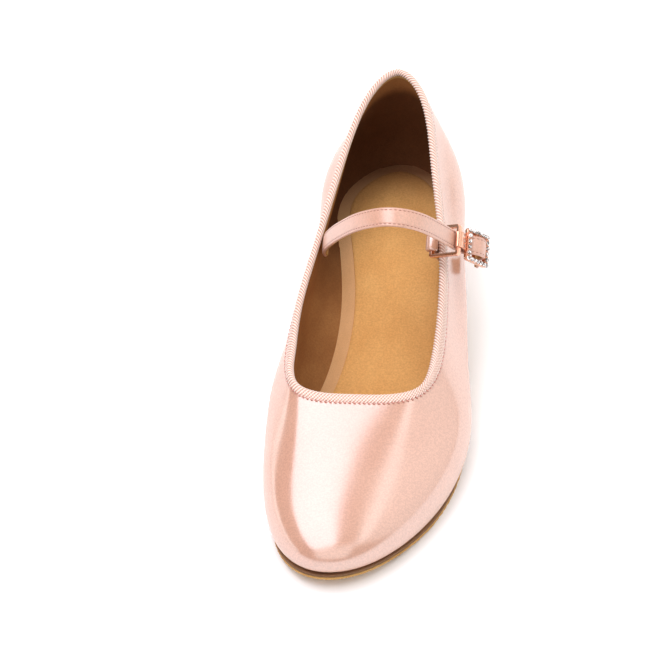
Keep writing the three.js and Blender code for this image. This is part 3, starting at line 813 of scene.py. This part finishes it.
RIB_PITCH = 1.5
RIB_DEPTH = 0.5
RIB_SLANT = 0.7
RIB_SAMPLES = 7
RIB_LEVEL = 0.6  # the share of a rib's height that lies on the cord's own radius
CORD_TURN = np.radians(np.linspace(262, 0, 15))
FLAP_SHADE = 0.55  # tone of the flat parts of the binding, between valley and rib
FLAP_LOW = -0.9  # the binding's flap ends this far under the edge of the satin
FLAP_MORE = 1.3  # and this much further on the steep sides


def flap_more(place):
    """Extra length of the binding's flap where the wall is steep."""
    return FLAP_MORE * smooth_step((rib_at(place)["tilt"] - FLAT_TILT) / (STEEP_TILT - FLAT_TILT))


def topline_binding():
    """Ribbed satin cord round the topline, with a flap down its outer face."""
    ribs = round(topline_length() / RIB_PITCH)
    count = ribs * RIB_SAMPLES
    place = topline_places(count)
    middle = np.array([-WALL / 2, GAP + BINDING_RADIUS])
    cord = middle + BINDING_RADIUS * circle(CORD_TURN)
    face = cord[-1, 0]
    flap = np.array([
        (face, 1.0), (face, 0.2), (face - 0.05, -0.5), (face - 0.3, FLAP_LOW),
        (0.08, FLAP_LOW + 0.15), (0.08, 0.2), (-0.5, 0.31),
    ])
    outline = np.concatenate([cord, flap])
    arc = path_lengths(outline)
    out = unit(np.roll(outline, 1, axis=0) - np.roll(outline, -1, axis=0))
    out = np.stack([-out[:, 1], out[:, 0]], axis=1)
    shown = np.ones(len(outline))
    shown[[0, 1, -1, -2, -3]] = 0  # the points that lie on the satin
    along = np.arange(count)[:, None] / count * ribs
    wave = 0.5 + 0.5 * np.cos(2 * math.pi * (along + RIB_SLANT * arc[None] / RIB_PITCH))
    lift = np.where(shown > 0, wave, FLAP_SHADE)
    section = outline[None] - out[None] * (RIB_DEPTH * (lift - RIB_LEVEL))[..., None]
    low = np.clip(-outline[:, 1] / -FLAP_LOW, 0, 1)
    section[..., 1] -= flap_more(place)[:, None] * low
    pile = lofted(topline_sweep(place, section), looped=True, values=lift)
    make_piece("topline_cord", pile, CORD, ["topline_binding"], sharp=75)


LINING_EDGE_POINTS = 480
LINING_EDGE_AT = np.array([-WALL - 0.12, -0.55])  # out from the satin's face, up from its edge
LINING_EDGE_SIZE = (0.5, 1.7)


def lining_edge():
    """Turned edge of the lining, just under the cord on the inner side."""
    section = LINING_EDGE_AT + rounded_section(*LINING_EDGE_SIZE, 0.2, 2)
    rings = topline_sweep(topline_places(LINING_EDGE_POINTS), section[None])
    make_piece("lining_edge", lofted(rings, looped=True), LINING_EDGE)


TOPLINE_STITCH = 2.1  # from one stitch to the next
TOPLINE_STITCH_SIZE = (1.35, 0.7, 0.6)
TOPLINE_STITCH_AT = (0.3, -0.35)  # out from the satin, up from the flap's end
TOPLINE_STITCH_SLANT = 0.35


def topline_stitches():
    """Row of stitches along the foot of the binding."""
    count = round(topline_length() / TOPLINE_STITCH)
    place = topline_places(count)
    top, normal, rising, run = topline_frame(place)
    out, up = TOPLINE_STITCH_AT
    middles = top + normal * out + rising * (FLAP_LOW + up - flap_more(place))[:, None]
    slant = unit(run - TOPLINE_STITCH_SLANT * rising)
    pile = Pile()
    add_stitches(pile, middles, slant, normal, TOPLINE_STITCH_SIZE)
    make_piece("topline_stitches", pile, SEAM_THREAD)


# Sole

OUTLINE_POINTS = 1440
SOLE_STATIONS = 160
ACROSS = 14
WELT_FROM, WELT_OVER = 0.7, 0.15  # place along the foot where the toe welt starts, and its run
SOLE_BEVEL = 0.22
FUZZ_UP = 0.4  # upright share of the fuzz


class Outline:
    """Feather line moved out by a margin and a toe welt, as two sides between its ends."""

    def __init__(self, margin, welt=0.0):
        place = even_places(OUTLINE_POINTS)
        rib = rib_at(place)
        points = np.stack([rib["across"], y_at(rib["along"])], axis=1)
        toe_share = np.clip((rib["along"] - WELT_FROM) / WELT_OVER, 0, 1)
        points = points + (margin + welt * toe_share)[:, None] * outward_at(place)[:, :2]
        heel, toe = points[:, 1].argmax(), points[:, 1].argmin()
        walk = np.roll(points, -toe, axis=0)
        turn = (heel - toe) % OUTLINE_POINTS
        self.outer = walk[: turn + 1]
        self.inner = np.concatenate([walk[turn:], walk[:1]])[::-1]
        self.back, self.front = points[heel, 1], points[toe, 1]

    def sides(self, y):
        """Outer and inner edge at places along the foot."""
        return [np.interp(y, side[:, 1], side[:, 0]) for side in (self.outer, self.inner)]


def stations(back, front, round_back, count=SOLE_STATIONS, skip=0.012):
    """Places from back to front, closer together towards the round ends."""
    turn = np.linspace(skip if round_back else math.pi / 2, math.pi - skip, count)
    share = (1 - np.cos(turn)) / 2 if round_back else -np.cos(turn)
    return lerp(back, front, share)


def layer_rings(levels, back, round_back, welt=0.0):
    """Rings across a layer. Each level is a margin and a height over the seat, bottom first."""
    lefts, rights = [], []
    for margin, height in levels:
        edge = Outline(margin, welt)
        y = stations(edge.back if back is None else back, edge.front, round_back)
        outer, inner = edge.sides(y)
        z = seat_at(along_at(y)) + height
        rights.append(np.stack([outer, y, z], axis=1))
        lefts.append(np.stack([inner, y, z], axis=1))
    share = np.linspace(0, 1, ACROSS + 1)[1:-1]
    floor = [lerp(lefts[0], rights[0], s) for s in share]
    roof = [lerp(rights[-1], lefts[-1], s) for s in share]
    return np.stack([*floor, *rights, *roof, *lefts[::-1]], axis=1)


def layer_caps(levels):
    """End caps of a layer as strips from side to side, one for each pair of levels."""
    across = ACROSS - 1
    right = across + np.arange(levels)
    left = 2 * (across + levels) - 1 - np.arange(levels)
    caps = [[int(left[0]), *range(across), int(right[0]), int(right[1]), int(left[1])]]
    for k in range(1, levels - 2):
        caps.append([int(left[k]), int(right[k]), int(right[k + 1]), int(left[k + 1])])
    roof = range(across + levels, 2 * across + levels)
    caps.append([int(left[-2]), int(right[-2]), int(right[-1]), *roof, int(left[-1])])
    return caps


def sole_layer(name, depth, thick, material, node, fuzz):
    """One layer of the sole, with its edges broken and a fuzz of nap along them."""
    top, low = -depth, -depth - thick
    levels = [
        (SOLE_MARGIN - SOLE_BEVEL, low),
        (SOLE_MARGIN - SOLE_BEVEL * 0.3, low + SOLE_BEVEL * 0.3),
        (SOLE_MARGIN, low + SOLE_BEVEL),
        (SOLE_MARGIN, top - SOLE_BEVEL),
        (SOLE_MARGIN - SOLE_BEVEL, top),
    ]
    rings = layer_rings(levels, y_at(BREAST_AT) - GAP, False, TOE_WELT)
    rng = np.random.default_rng(SEED)
    jitter = rng.normal(0, fuzz, (*rings.shape[:2], 3))
    jitter[:, :ACROSS - 1] = 0
    jitter[..., 2] *= FUZZ_UP
    rings = rings + jitter
    rings[..., 2] = np.maximum(rings[..., 2], 0.0)
    make_piece(name, lofted(rings), material, [node], sharp=60)


RIM_HEIGHT = 1.7  # where the insole's cover meets the lining
RIM_THICK = 0.4
# Steps of the cover from the lining to under the sock: margin and height over the seat
RIM_LEVELS = ((-3.4, 1.95), (-4.6, 2.2), (-6.0, 2.4), (-SOCK_INSET - 0.8, 2.55))
# Steps of the board: inset from its side and height over the seat
BOARD_LEVELS = ((0, 0.0), (0, 1.0), (0.25, 1.2), (1.8, 1.6), (3.6, 1.9), (5.6, 2.1))
# Painted shade on the heel seat: its back, its reach along the foot, and how much further it reaches
# on the inner side, from a distance off the middle and over a width
SEAT_BACK = 0.03
SEAT_REACH, SEAT_REACH_INNER = 0.095, 0.13
SEAT_INNER_FROM, SEAT_INNER_OVER = 4, 14
# Crown of the sock: insets from its edge and shares of its height
SOCK_BASE = 2.5
SOCK_CROWN = ((1.5, 0.25), (3, 0.5), (5.5, 0.8), (8.5, 1.0))


def rim_loops():
    """Loops of the insole's cover, from the lining's face in under the sock."""
    place = even_places(AROUND)
    up = np.linspace(0, 0.4, 60)  # the foot of the wall
    wall = last_points(place, up) - (WALL + 0.02) * last_normals(place, up)
    rise = wall[..., 2] - seat_at(along_at(wall[..., 1]))
    edge = wall[np.arange(AROUND), np.abs(rise - RIM_HEIGHT).argmin(axis=1)]
    loops = [edge]
    rib = rib_at(place)
    foot = np.stack([rib["across"], y_at(rib["along"])], axis=1)
    for margin, height in RIM_LEVELS:
        xy = foot + margin * outward_at(place)[:, :2]
        loops.append(np.column_stack([xy, seat_at(along_at(xy[:, 1])) + height]))
    return np.stack(loops, axis=1)


def seat_shade(points):
    """Painted shade of the heel seat: one at its back, and reaching further on the inner side."""
    inner = np.clip((-points[..., 0] - SEAT_INNER_FROM) / SEAT_INNER_OVER, 0, 1)
    reach = SEAT_REACH + SEAT_REACH_INNER * inner
    return np.clip((SEAT_BACK + reach - along_at(points[..., 1])) / reach, 0, 1) ** 1.5


def seat_layer(levels):
    """A layer inside the shoe, from heel to toe, with the painted shade of the heel seat."""
    rings = layer_rings(levels, None, True)
    return lofted(rings, values=seat_shade(rings), caps=layer_caps(len(levels)))


def insole_board():
    """Insole board, with the pale cover of its rim."""
    pile = seat_layer([(-INSOLE_INSET - inset, height) for inset, height in BOARD_LEVELS])
    cover = rim_loops()
    cover = np.concatenate([cover, cover[:, ::-1] - RIM_THICK * UP], axis=1)
    # Painted shade on the rim's cover at the heel seat
    pile.loft(cover, looped=True, values=seat_shade(cover))
    make_piece("insole_board", pile, RIM, ["insole"], sharp=50)


def sock_pad():
    """Padded suede sock on the insole board."""
    edge = SOCK_BASE + SOCK_THICK
    levels = [(0, SOCK_BASE - 0.3), (0, SOCK_BASE + 0.3), (0.25, edge)]
    levels += [(inset, lerp(edge, INSOLE_CROWN, share)) for inset, share in SOCK_CROWN]
    pile = seat_layer([(-SOCK_INSET - inset, height) for inset, height in levels])
    piece = make_piece("sock_pad", pile, SOCK, sharp=50)


# Heel

HEEL_SIDE_POINTS = 190
BREAST_POINTS = 60
HEEL_LEVELS = 64
SEAM_SHARE = 0.56  # place of the cover's seam across the breast
SEAM_RIDGE = 0.3  # height of the seam's ridge
SEAM_STEP = 0.35  # and of the fold beside it
# Widths of the ridge, the trough beside it and the fold's edge, and the trough's place and depth,
# as shares of the breast's width and the ridge's height
SEAM_WIDTH, TROUGH_WIDTH, FOLD_WIDTH = 0.018, 0.014, 0.01
TROUGH_ASIDE, TROUGH_DEPTH = 0.04, 0.7
HEEL_EASE = 0.35  # rounding of the block's upper and lower edge
EASE_RATE = 60
HEEL_STITCH_SIZE = (1.5, 0.4, 0.35)
# Levels of the lift: inset from its side and height
LIFT_LEVELS = (
    (0.35, 0.0), (0.08, 0.15), (0.0, 0.4), (0.0, 1.4), (0.0, 2.6), (0.1, 2.9), (0.4, LIFT_HEIGHT),
)
LIFT_FUZZ = 0.03
LIFT_SIDE_SHADE = 0.55


def breast_place(low, high):
    """Place on the feather line between two others where the heel breast is."""
    places = np.linspace(low, high, 4000)
    return places[np.abs(rib_at(places)["along"] - BREAST_AT).argmin()]


def close_breast(side):
    share = np.linspace(0, 1, BREAST_POINTS + 2)[1:-1, None]
    return np.concatenate([side, lerp(side[-1], side[0], share)])


def round_corners(loop, passes=3):
    """Loop with its sharp corners eased, by averaging neighbours."""
    for _ in range(passes):
        loop = (np.roll(loop, 1, axis=0) + 2 * loop + np.roll(loop, -1, axis=0)) / 4
    return loop


def heel_top_outline():
    heel = RIB_KNOTS[HEEL_RIB]
    start = breast_place(RIB_KNOTS[HEEL_RIB - HEEL_SPAN], heel)
    end = breast_place(heel, RIB_KNOTS[HEEL_RIB + HEEL_SPAN])
    rib = rib_at(np.linspace(start, end, HEEL_SIDE_POINTS))
    return close_breast(np.stack([rib["across"], y_at(rib["along"])], axis=1))


def heel_bottom_outline(margin):
    turn = np.linspace(0, math.pi, HEEL_SIDE_POINTS)
    cosine, sine = np.cos(turn), np.clip(np.sin(turn), 0, 1)
    width = HEEL_BOTTOM_WIDTH / 2 + margin
    depth = HEEL_BOTTOM_DEPTH + 2 * margin
    x = width * np.sign(cosine) * np.abs(cosine) ** HEEL_SQUARENESS
    y = HEEL_BOTTOM_BACK - HEEL_BOTTOM_DEPTH - margin + depth * sine**HEEL_SQUARENESS
    return close_breast(np.stack([x, y], axis=1))


def heel_cover():
    """Heel block in satin, with the seam of its cover down the breast."""
    top = round_corners(heel_top_outline())
    bottom = round_corners(heel_bottom_outline(0))
    floor = LIFT_HEIGHT + GAP
    roof = seat_at(along_at(top[:, 1])) - GAP
    breast = np.zeros(len(top))
    share = np.linspace(0, 1, BREAST_POINTS + 2)[1:-1]
    past = share - SEAM_SHARE
    ridge = np.exp(-((past / SEAM_WIDTH) ** 2))
    ridge -= TROUGH_DEPTH * np.exp(-(((past - TROUGH_ASIDE) / TROUGH_WIDTH) ** 2))
    step = 0.5 * (1 + np.tanh(past / FOLD_WIDTH)) * (1 - share) / (1 - SEAM_SHARE)
    breast[HEEL_SIDE_POINTS:] = -SEAM_RIDGE * ridge - SEAM_STEP * step
    rings = []
    for part in np.linspace(0, 1, HEEL_LEVELS):
        level = lerp(bottom, top, part**HEEL_HOLLOW)
        ease = HEEL_EASE * (np.exp(-part * EASE_RATE) + np.exp(-(1 - part) * EASE_RATE))
        level = level - ease * unit(level - level.mean(axis=0))
        level[:, 1] += breast
        rings.append(np.column_stack([level, lerp(np.full(len(top), floor), roof, part)]))
    make_piece("heel_cover", lofted(np.stack(rings)), HEEL_SATIN, ["heel"], sharp=50)


def heel_stitches():
    """Stitches beside the cover's seam on the breast."""
    top, bottom = heel_top_outline(), heel_bottom_outline(0)
    at = HEEL_SIDE_POINTS + round((SEAM_SHARE - 0.06) * BREAST_POINTS)
    part = np.linspace(0.06, 0.94, 15)
    xy = lerp(bottom[at], top[at], (part**HEEL_HOLLOW)[:, None])
    roof = seat_at(along_at(top[at, 1])) - GAP
    middles = np.column_stack([xy + np.array([0, -0.12]), lerp(LIFT_HEIGHT + GAP, roof, part)])
    runs = unit(np.gradient(middles, axis=0))
    normals = unit(np.cross(runs, np.broadcast_to(np.array([1.0, 0, 0]), runs.shape)))
    pile = Pile()
    add_stitches(pile, middles, runs, normals, HEEL_STITCH_SIZE)
    make_piece("heel_stitches", pile, SEAM_THREAD)


def heel_lift():
    """Suede lift under the heel, dark along the breast."""
    rng = np.random.default_rng(SEED + 1)
    rings = []
    for inset, z in LIFT_LEVELS:
        loop = round_corners(heel_bottom_outline(LIFT_MARGIN - inset))
        if 0 < z < LIFT_HEIGHT:
            loop = loop + rng.normal(0, LIFT_FUZZ, loop.shape)
        rings.append(np.column_stack([loop, np.full(len(loop), z)]))
    rings = np.stack(rings)
    front = np.zeros(rings.shape[:2])
    front[:, HEEL_SIDE_POINTS - 1:] = 1
    front[:, 0] = 1
    front[4:] = np.maximum(front[4:], LIFT_SIDE_SHADE)
    front[:2] = 0
    pile = lofted(rings, values=front)
    make_piece("heel_lift", pile, LIFT, ["heel_top_lift"], sharp=50)


# Strap

STRAP_STEPS = 420
TAIL_SLANT = 3.5  # the tail is cut at a slant
STRAP_CROWN = 0.12
GROOVE_WIDTH = 0.3
GROOVE_DEPTH = 0.2


def strap_curve():
    """The strap's middle, from its inner end over the foot and through the frame to its tail."""
    along, out = frame_axes()
    bulge = FRAME_AT + STRAP_BULGE[:, :1] * along + STRAP_BULGE[:, 1:] * out
    return even_path(catmull_path(np.concatenate([STRAP_PATH, bulge, STRAP_TAIL])), STRAP_STEPS)


def strap_section():
    """Satin face with rolled edges and a groove along each row of stitches."""
    half = STRAP_WIDTH / 2
    low, high = -STRAP_THICK / 2 + STRAP_LINING - 0.1, STRAP_THICK / 2
    roll = (high - low) / 2
    turn = np.linspace(-math.pi / 2, math.pi / 2, 9)
    right = np.array([half - roll, (high + low) / 2]) + roll * circle(turn)
    width = np.linspace(half - roll - 0.25, -half + roll + 0.25, 29)
    groove = np.exp(-(((np.abs(width) - (half - STITCH_INSET)) / GROOVE_WIDTH) ** 2))
    crown = STRAP_CROWN * (1 - (width / half) ** 2)
    face = np.stack([width, high + crown - GROOVE_DEPTH * groove], axis=1)
    left = np.stack([-right[::-1, 0], right[::-1, 1]], axis=1)
    return np.concatenate([right, face, left])


def strap_rings(section):
    """Rings of the strap, with its tail cut at a slant."""
    path = strap_curve()
    rings = band_rings(path, section)
    cut = TAIL_SLANT * (section[:, 0] / STRAP_WIDTH + 0.5)
    step = np.linalg.norm(path[1] - path[0])
    index = np.arange(STRAP_STEPS)
    slanted = rings.copy()
    for k in range(rings.shape[1]):
        at = index * (1 - cut[k] / step / (STRAP_STEPS - 1))
        for c in range(3):
            slanted[:, k, c] = np.interp(at, index, rings[:, k, c])
    return slanted


def strap_satin():
    pile = lofted(strap_rings(strap_section()))
    make_piece("strap_satin", pile, STRAP_SATIN, ["strap"], sharp=60)


def strap_lining():
    section = rounded_section(STRAP_WIDTH - 0.9, STRAP_LINING, 0.2, 3)
    section = section + np.array([0, -STRAP_THICK / 2 + STRAP_LINING / 2])
    make_piece("strap_lining", lofted(strap_rings(section)), LINING_EDGE)


STRAP_STITCH = 1.9  # from one stitch to the next
STRAP_STITCH_SIZE = (1.25, 0.42, 0.36)


def strap_stitches():
    """Two rows of stitches on the face of the strap, and the same rows on its lining."""
    path = strap_curve()
    count = round(path_lengths(path)[-1] / STRAP_STITCH)
    at = (np.arange(count)[4:-2] + 0.5) / count * (STRAP_STEPS - 1)
    index = np.arange(STRAP_STEPS)
    middle, side = (
        np.stack([np.interp(at, index, values[:, c]) for c in (0, 1)], axis=1)
        for values in (path, path_sides(path))
    )
    out = unit(side)
    run = np.stack([out[:, 1], -out[:, 0]], axis=1)
    flat = np.zeros(len(at))
    origin = strap_world(flat, flat, flat)
    normals = strap_world(out[:, 0], out[:, 1], flat) - origin
    runs = strap_world(run[:, 0], run[:, 1], flat) - origin
    pile = Pile()
    aside = STRAP_WIDTH / 2 - STITCH_INSET
    for height, facing in ((STRAP_THICK / 2 - 0.1, 1), (-STRAP_THICK / 2, -1)):
        spot = middle + out * height
        for depth in (-aside, aside):
            row = strap_world(spot[:, 0], spot[:, 1], flat + depth)
            add_stitches(pile, row, runs, normals * facing, STRAP_STITCH_SIZE)
    make_piece("strap_stitches", pile, STRAP_THREAD)


def strap_tab():
    """Satin tab looped round the ring's inner bar, with its leg down the inside of the wall."""
    reach = RING_BAR + GAP + TAB_THICK / 2
    turn = np.radians(np.linspace(*TAB_LOOP, 50))
    loop = RING_INNER + reach * circle(turn)
    drop = np.linspace(0, TAB_DEPTH, 25)[1:]
    leg = RING_INNER + np.stack([TAB_SLOPE * drop, -reach - drop], axis=1)
    path = even_path(np.concatenate([loop, leg]), 90)
    pile = lofted(band_rings(path, rounded_section(TAB_WIDTH, TAB_THICK, 0.7, 6)))
    make_piece("strap_tab", pile, TAB_SATIN, ["strap_anchor"], sharp=70)


# Buckle

def rectangle_path(length, width, radius, steps=5, straight=6):
    """Closed path round a rectangle with round corners, and its outward side."""
    corners = rounded_section(length, width, radius, steps).reshape(4, steps + 1, 2)
    points = []
    for corner, following in zip(corners, np.roll(corners, -1, axis=0)):
        points.append(corner)
        share = np.linspace(0, 1, straight + 1)[1:-1, None]
        points.append(lerp(corner[-1], following[0], share))
    path = np.concatenate(points)
    run = unit(np.roll(path, -1, axis=0) - np.roll(path, 1, axis=0))
    return path, np.stack([run[:, 1], -run[:, 0]], axis=1)


def plane_points(origin, along, out, u, v, w):
    """Points of a plate in the strap's plane: u along it, v across the strap, w out of its face."""
    across = origin[0] + along[0] * u + out[0] * w
    rise = origin[1] + along[1] * u + out[1] * w
    return strap_world(across, rise, -v)


def plate_ring(origin, along, length, width, radius, section):
    """Rectangular ring of even section, lying in a plane across the strap."""
    along = unit(along)
    out = np.array([-along[1], along[0]])
    path, side = rectangle_path(length, width, radius)
    u = path[:, None, 0] + side[:, None, 0] * section[None, :, 0]
    v = path[:, None, 1] + side[:, None, 1] * section[None, :, 0]
    return plane_points(origin, along, out, u, v, np.broadcast_to(section[None, :, 1], u.shape))


def buckle_ring():
    """Polished ring through the tab."""
    span = RING_OUTER - RING_INNER
    rings = plate_ring(
        (RING_INNER + RING_OUTER) / 2, span, np.linalg.norm(span), RING_WIDTH - 2 * RING_BAR,
        RING_CORNER, rounded_section(*RING_SECTION, 0.25, 3),
    )
    pile = lofted(rings, looped=True)
    make_piece("buckle_ring_plated", pile, ROSE_GOLD, ["buckle_ring"], sharp=35)


def frame_axes():
    along = unit(FRAME_DIRECTION)
    return along, np.array([-along[1], along[0]])


def frame_points(u, v, w):
    along, out = frame_axes()
    return plane_points(FRAME_AT, along, out, u, v, w)


def frame_ring(section):
    """Ring of even section round the frame."""
    return plate_ring(FRAME_AT, FRAME_DIRECTION, FRAME_RUN, FRAME_SPAN, FRAME_CORNER, section)


def hook_path():
    along, out = frame_axes()
    root = FRAME_AT - along * FRAME_RUN / 2
    start = math.atan2(out[1], out[0])
    turn = start + np.linspace(0, 1, 24) * math.radians(HOOK_CURL)
    reach = RING_BAR + GAP + HOOK_THICK / 2
    curl = RING_OUTER + reach * circle(turn)
    return even_path(np.concatenate([root[None], curl]), 40)


def buckle_frame():
    """Frame with its centre bar, and the hook that holds the ring."""
    pile = lofted(frame_ring(rounded_section(FRAME_SIDE, FRAME_THICK, 0.3, 3)), looped=True)
    turn = np.arange(16) * 2 * math.pi / 16
    length = np.linspace(-0.5, 0.5, 9)[:, None] * FRAME_SPAN
    u = FRAME_BAR * np.cos(turn)[None] + 0 * length
    w = FRAME_BAR * np.sin(turn)[None] - FRAME_BAR_DROP + 0 * length
    pile.loft(frame_points(u, length + 0 * u, w))
    pile.loft(band_rings(hook_path(), rounded_section(HOOK_WIDTH, HOOK_THICK, 0.25, 3)))
    make_piece("buckle_frame_plated", pile, ROSE_GOLD, ["buckle_frame"], sharp=35)


def stone_places():
    """Middles of the stones round the frame."""
    along = np.linspace(-FRAME_RUN / 2, FRAME_RUN / 2, STONES_LONG)
    across = np.linspace(-FRAME_SPAN / 2, FRAME_SPAN / 2, STONES_SHORT)
    places = [(u, v) for u in along for v in across[[0, -1]]]
    places += [(u, v) for v in across[1:-1] for u in along[[0, -1]]]
    return np.array(places)


# Rings of a stone: shares of its radius and height, and a turn in shares of a side
STONE_RINGS = (
    (0.62, -0.55, 0.0), (1.0, 0.0, 0.5), (0.97, 0.1, 0.5), (0.8, 0.55, 0.0), (0.5, 1.0, 0.5),
)
STONE_SIDES = 8
STONE_LIFT = 0.3  # of the girdle over the bed
BED_HEIGHT = 0.5
BED_APART = 0.02  # between the frame's face and the bed
BEAD_RADIUS = 0.3
BEAD_HEIGHT = 0.42
BEAD_RISE = 0.55  # of a bead's middle over the frame's face
BEAD_ASIDE = 0.75  # from the middle of the frame's side
BEAD_SIDES = 8
BEAD_LEVELS = np.radians([-20, 15, 45, 75])


def crystal_stones():
    """Cut stones, each with a girdle, two rows of crown facets and a table."""
    floor = FRAME_THICK / 2 + GAP
    pile = Pile()
    rng = np.random.default_rng(SEED + 2)
    for u, v in stone_places():
        spin = rng.uniform(0, 2 * math.pi)
        rings = []
        for radius, height, offset in STONE_RINGS:
            turn = spin + (np.arange(STONE_SIDES) + offset) * 2 * math.pi / STONE_SIDES
            ring_u = u + STONE_RADIUS * radius * np.cos(turn)
            ring_v = v + STONE_RADIUS * radius * np.sin(turn)
            ring_w = np.full(STONE_SIDES, floor + STONE_LIFT + STONE_HEIGHT * height)
            rings.append(frame_points(ring_u, ring_v, ring_w))
        # Random values for the painted reflections of the facets
        pile.loft(np.stack(rings), values=rng.uniform(0, 1, (len(STONE_RINGS), STONE_SIDES)))
    make_piece("crystal_stones", pile, STONE, ["crystal_band"], sharp=5)


def gap_middles(stones):
    """Middles of the gaps in an even row of stones that is one unit long."""
    return (np.arange(stones - 1) + 0.5) / (stones - 1) - 0.5


def stone_settings():
    """Low bed of plated metal with two beads at each gap between stones."""
    floor = FRAME_THICK / 2 + BED_APART
    bed = rounded_section(FRAME_SIDE + 0.3, BED_HEIGHT, 0.15, 2)
    pile = lofted(frame_ring(bed + np.array([0, floor + BED_HEIGHT / 2])), looped=True)
    rows = [(side, shift) for side in (-1, 1) for shift in (-BEAD_ASIDE, BEAD_ASIDE)]
    beads = [
        (gap * FRAME_RUN, side * FRAME_SPAN / 2 + shift)
        for gap in gap_middles(STONES_LONG) for side, shift in rows
    ]
    beads += [
        (side * FRAME_RUN / 2 + shift, gap * FRAME_SPAN)
        for gap in gap_middles(STONES_SHORT) for side, shift in rows
    ]
    turn = np.arange(BEAD_SIDES) * 2 * math.pi / BEAD_SIDES
    wide, high = BEAD_RADIUS * np.cos(BEAD_LEVELS)[:, None], np.sin(BEAD_LEVELS)[:, None]
    for u, v in beads:
        ring_u = u + wide * np.cos(turn)[None]
        ring_v = v + wide * np.sin(turn)[None]
        ring_w = floor + BEAD_RISE + BEAD_HEIGHT * high + 0 * ring_u
        pile.loft(frame_points(ring_u, ring_v, ring_w))
    make_piece("stone_settings", pile, ROSE_GOLD, sharp=50)


upper_satin()
upper_lining()
topline_binding()
lining_edge()
topline_stitches()
sole_layer("sole_leather", GAP, MIDSOLE, SOLE_EDGE, "midsole", 0.02)
sole_layer("sole_suede_layer", 2 * GAP + MIDSOLE, OUTSOLE, SOLE_NAP, "outsole", 0.1)
insole_board()
sock_pad()
heel_cover()
heel_stitches()
heel_lift()
strap_satin()
strap_lining()
strap_stitches()
strap_tab()
buckle_ring()
buckle_frame()
crystal_stones()
stone_settings()


# Stage, lights and camera

FLOOR_REACH = 6.0
LIGHT_TARGET = Vector((0, 0, 0.04))
ROSY = (0.95, 0.91, 1.0)


def floor_plane():
    mesh = bpy.data.meshes.new("floor")
    corners = [(x * FLOOR_REACH, y * FLOOR_REACH, 0) for x, y in ((-1, -1), (1, -1), (1, 1), (-1, 1))]
    mesh.from_pydata(corners, [], [(0, 1, 2, 3)])
    plane = bpy.data.objects.new("floor", mesh)
    bpy.context.scene.collection.objects.link(plane)
    look = Look("pale_floor", Roughness=0.8, Specular_IOR_Level=0.1)
    look.set(Base_Color=look.ramp(look.noise(3, detail=2), [(0.3, 0.94), (0.7, 0.96)]))
    mesh.materials.append(look.material)


def area_light(name, place, size, energy, glossy=True, color=(1, 1, 1)):
    """Soft box of a width and height in metres and a power in watts, aimed at the shoe."""
    light = bpy.data.lights.new(name, "AREA")
    light.shape = "RECTANGLE"
    light.size, light.size_y = size
    light.energy = energy
    light.color = color
    lamp = bpy.data.objects.new(name, light)
    bpy.context.scene.collection.objects.link(lamp)
    lamp.location = place
    lamp.visible_glossy = glossy
    lamp.rotation_euler = (Vector(place) - LIGHT_TARGET).to_track_quat("Z", "Y").to_euler()


def studio():
    """Dim room with a soft box on each side and a darker strip between them, where the satin shows
    its own colour, a bright band along the right box, and a fill that the satin does not mirror."""
    world = bpy.data.worlds.new("room")
    bpy.context.scene.world = world
    world.use_nodes = True
    background = world.node_tree.nodes["Background"]
    background.inputs["Color"].default_value = (1.0, 0.99, 0.98, 1)
    background.inputs["Strength"].default_value = 0.3
    area_light("left_box", (-0.45, -0.11, 1.11), (1.5, 0.87), 10.5, color=ROSY)
    area_light("right_box", (0.83, 0.385, 0.74), (2.9, 1.76), 12.5)
    area_light("right_top", (0.31, 0.22, 1.24), (2.9, 0.34), 2.0)
    area_light("left_low", (-1.2, -0.05, 0.14), (1.5, 0.2), 1.4)
    area_light("front_box", (0.05, -1.2, 0.85), (1.4, 1.1), 4.4)
    area_light("back_box", (-0.4, 1.25, 0.7), (2.0, 1.3), 3.2)
    area_light("fill", (-0.05, 0.05, 1.7), (1.4, 1.4), 15, glossy=False)
    bpy.context.scene.view_settings.view_transform = "Standard"


# The photograph's view of the shoe, in degrees and metres, and the pixel where its target falls
VIEW_AZIMUTH = 10.66
VIEW_ELEVATION = 44.3
VIEW_ROLL = -4.84
VIEW_DISTANCE = 1.2316
VIEW_TARGET = Vector((-0.0034, 0.0002, 0.040))
TARGET_PIXEL = (373.6, 329.5)
FRAME_PIXELS = 651
FOCAL_PIXELS = 2766
SENSOR = 36


def photo_camera():
    """Camera at the photograph's angle, turned a little so that the shoe falls where it does there."""
    azimuth, elevation, roll = map(math.radians, (VIEW_AZIMUTH, VIEW_ELEVATION, VIEW_ROLL))
    back = Vector((
        math.sin(azimuth) * math.cos(elevation),
        -math.cos(azimuth) * math.cos(elevation),
        math.sin(elevation),
    ))
    right = Vector((math.cos(azimuth), math.sin(azimuth), 0))
    up = back.cross(right)
    rolled_right = right * math.cos(roll) + up * math.sin(roll)
    rolled_up = up * math.cos(roll) - right * math.sin(roll)
    place = VIEW_TARGET + back * VIEW_DISTANCE
    pixel = VIEW_DISTANCE / FOCAL_PIXELS
    aside = (TARGET_PIXEL[0] - FRAME_PIXELS / 2) * pixel
    below = (TARGET_PIXEL[1] - FRAME_PIXELS / 2) * pixel
    aim = VIEW_TARGET - rolled_right * aside + rolled_up * below
    back = (place - aim).normalized()
    right = rolled_up.cross(back).normalized()
    up = back.cross(right)
    data = bpy.data.cameras.new("camera")
    data.sensor_width = SENSOR
    data.lens = FOCAL_PIXELS / FRAME_PIXELS * SENSOR
    camera = bpy.data.objects.new("camera", data)
    bpy.context.scene.collection.objects.link(camera)
    turn = Matrix((right, up, back)).transposed().to_4x4()
    camera.matrix_world = Matrix.Translation(place) @ turn
    bpy.context.scene.camera = camera


floor_plane()
studio()
photo_camera()
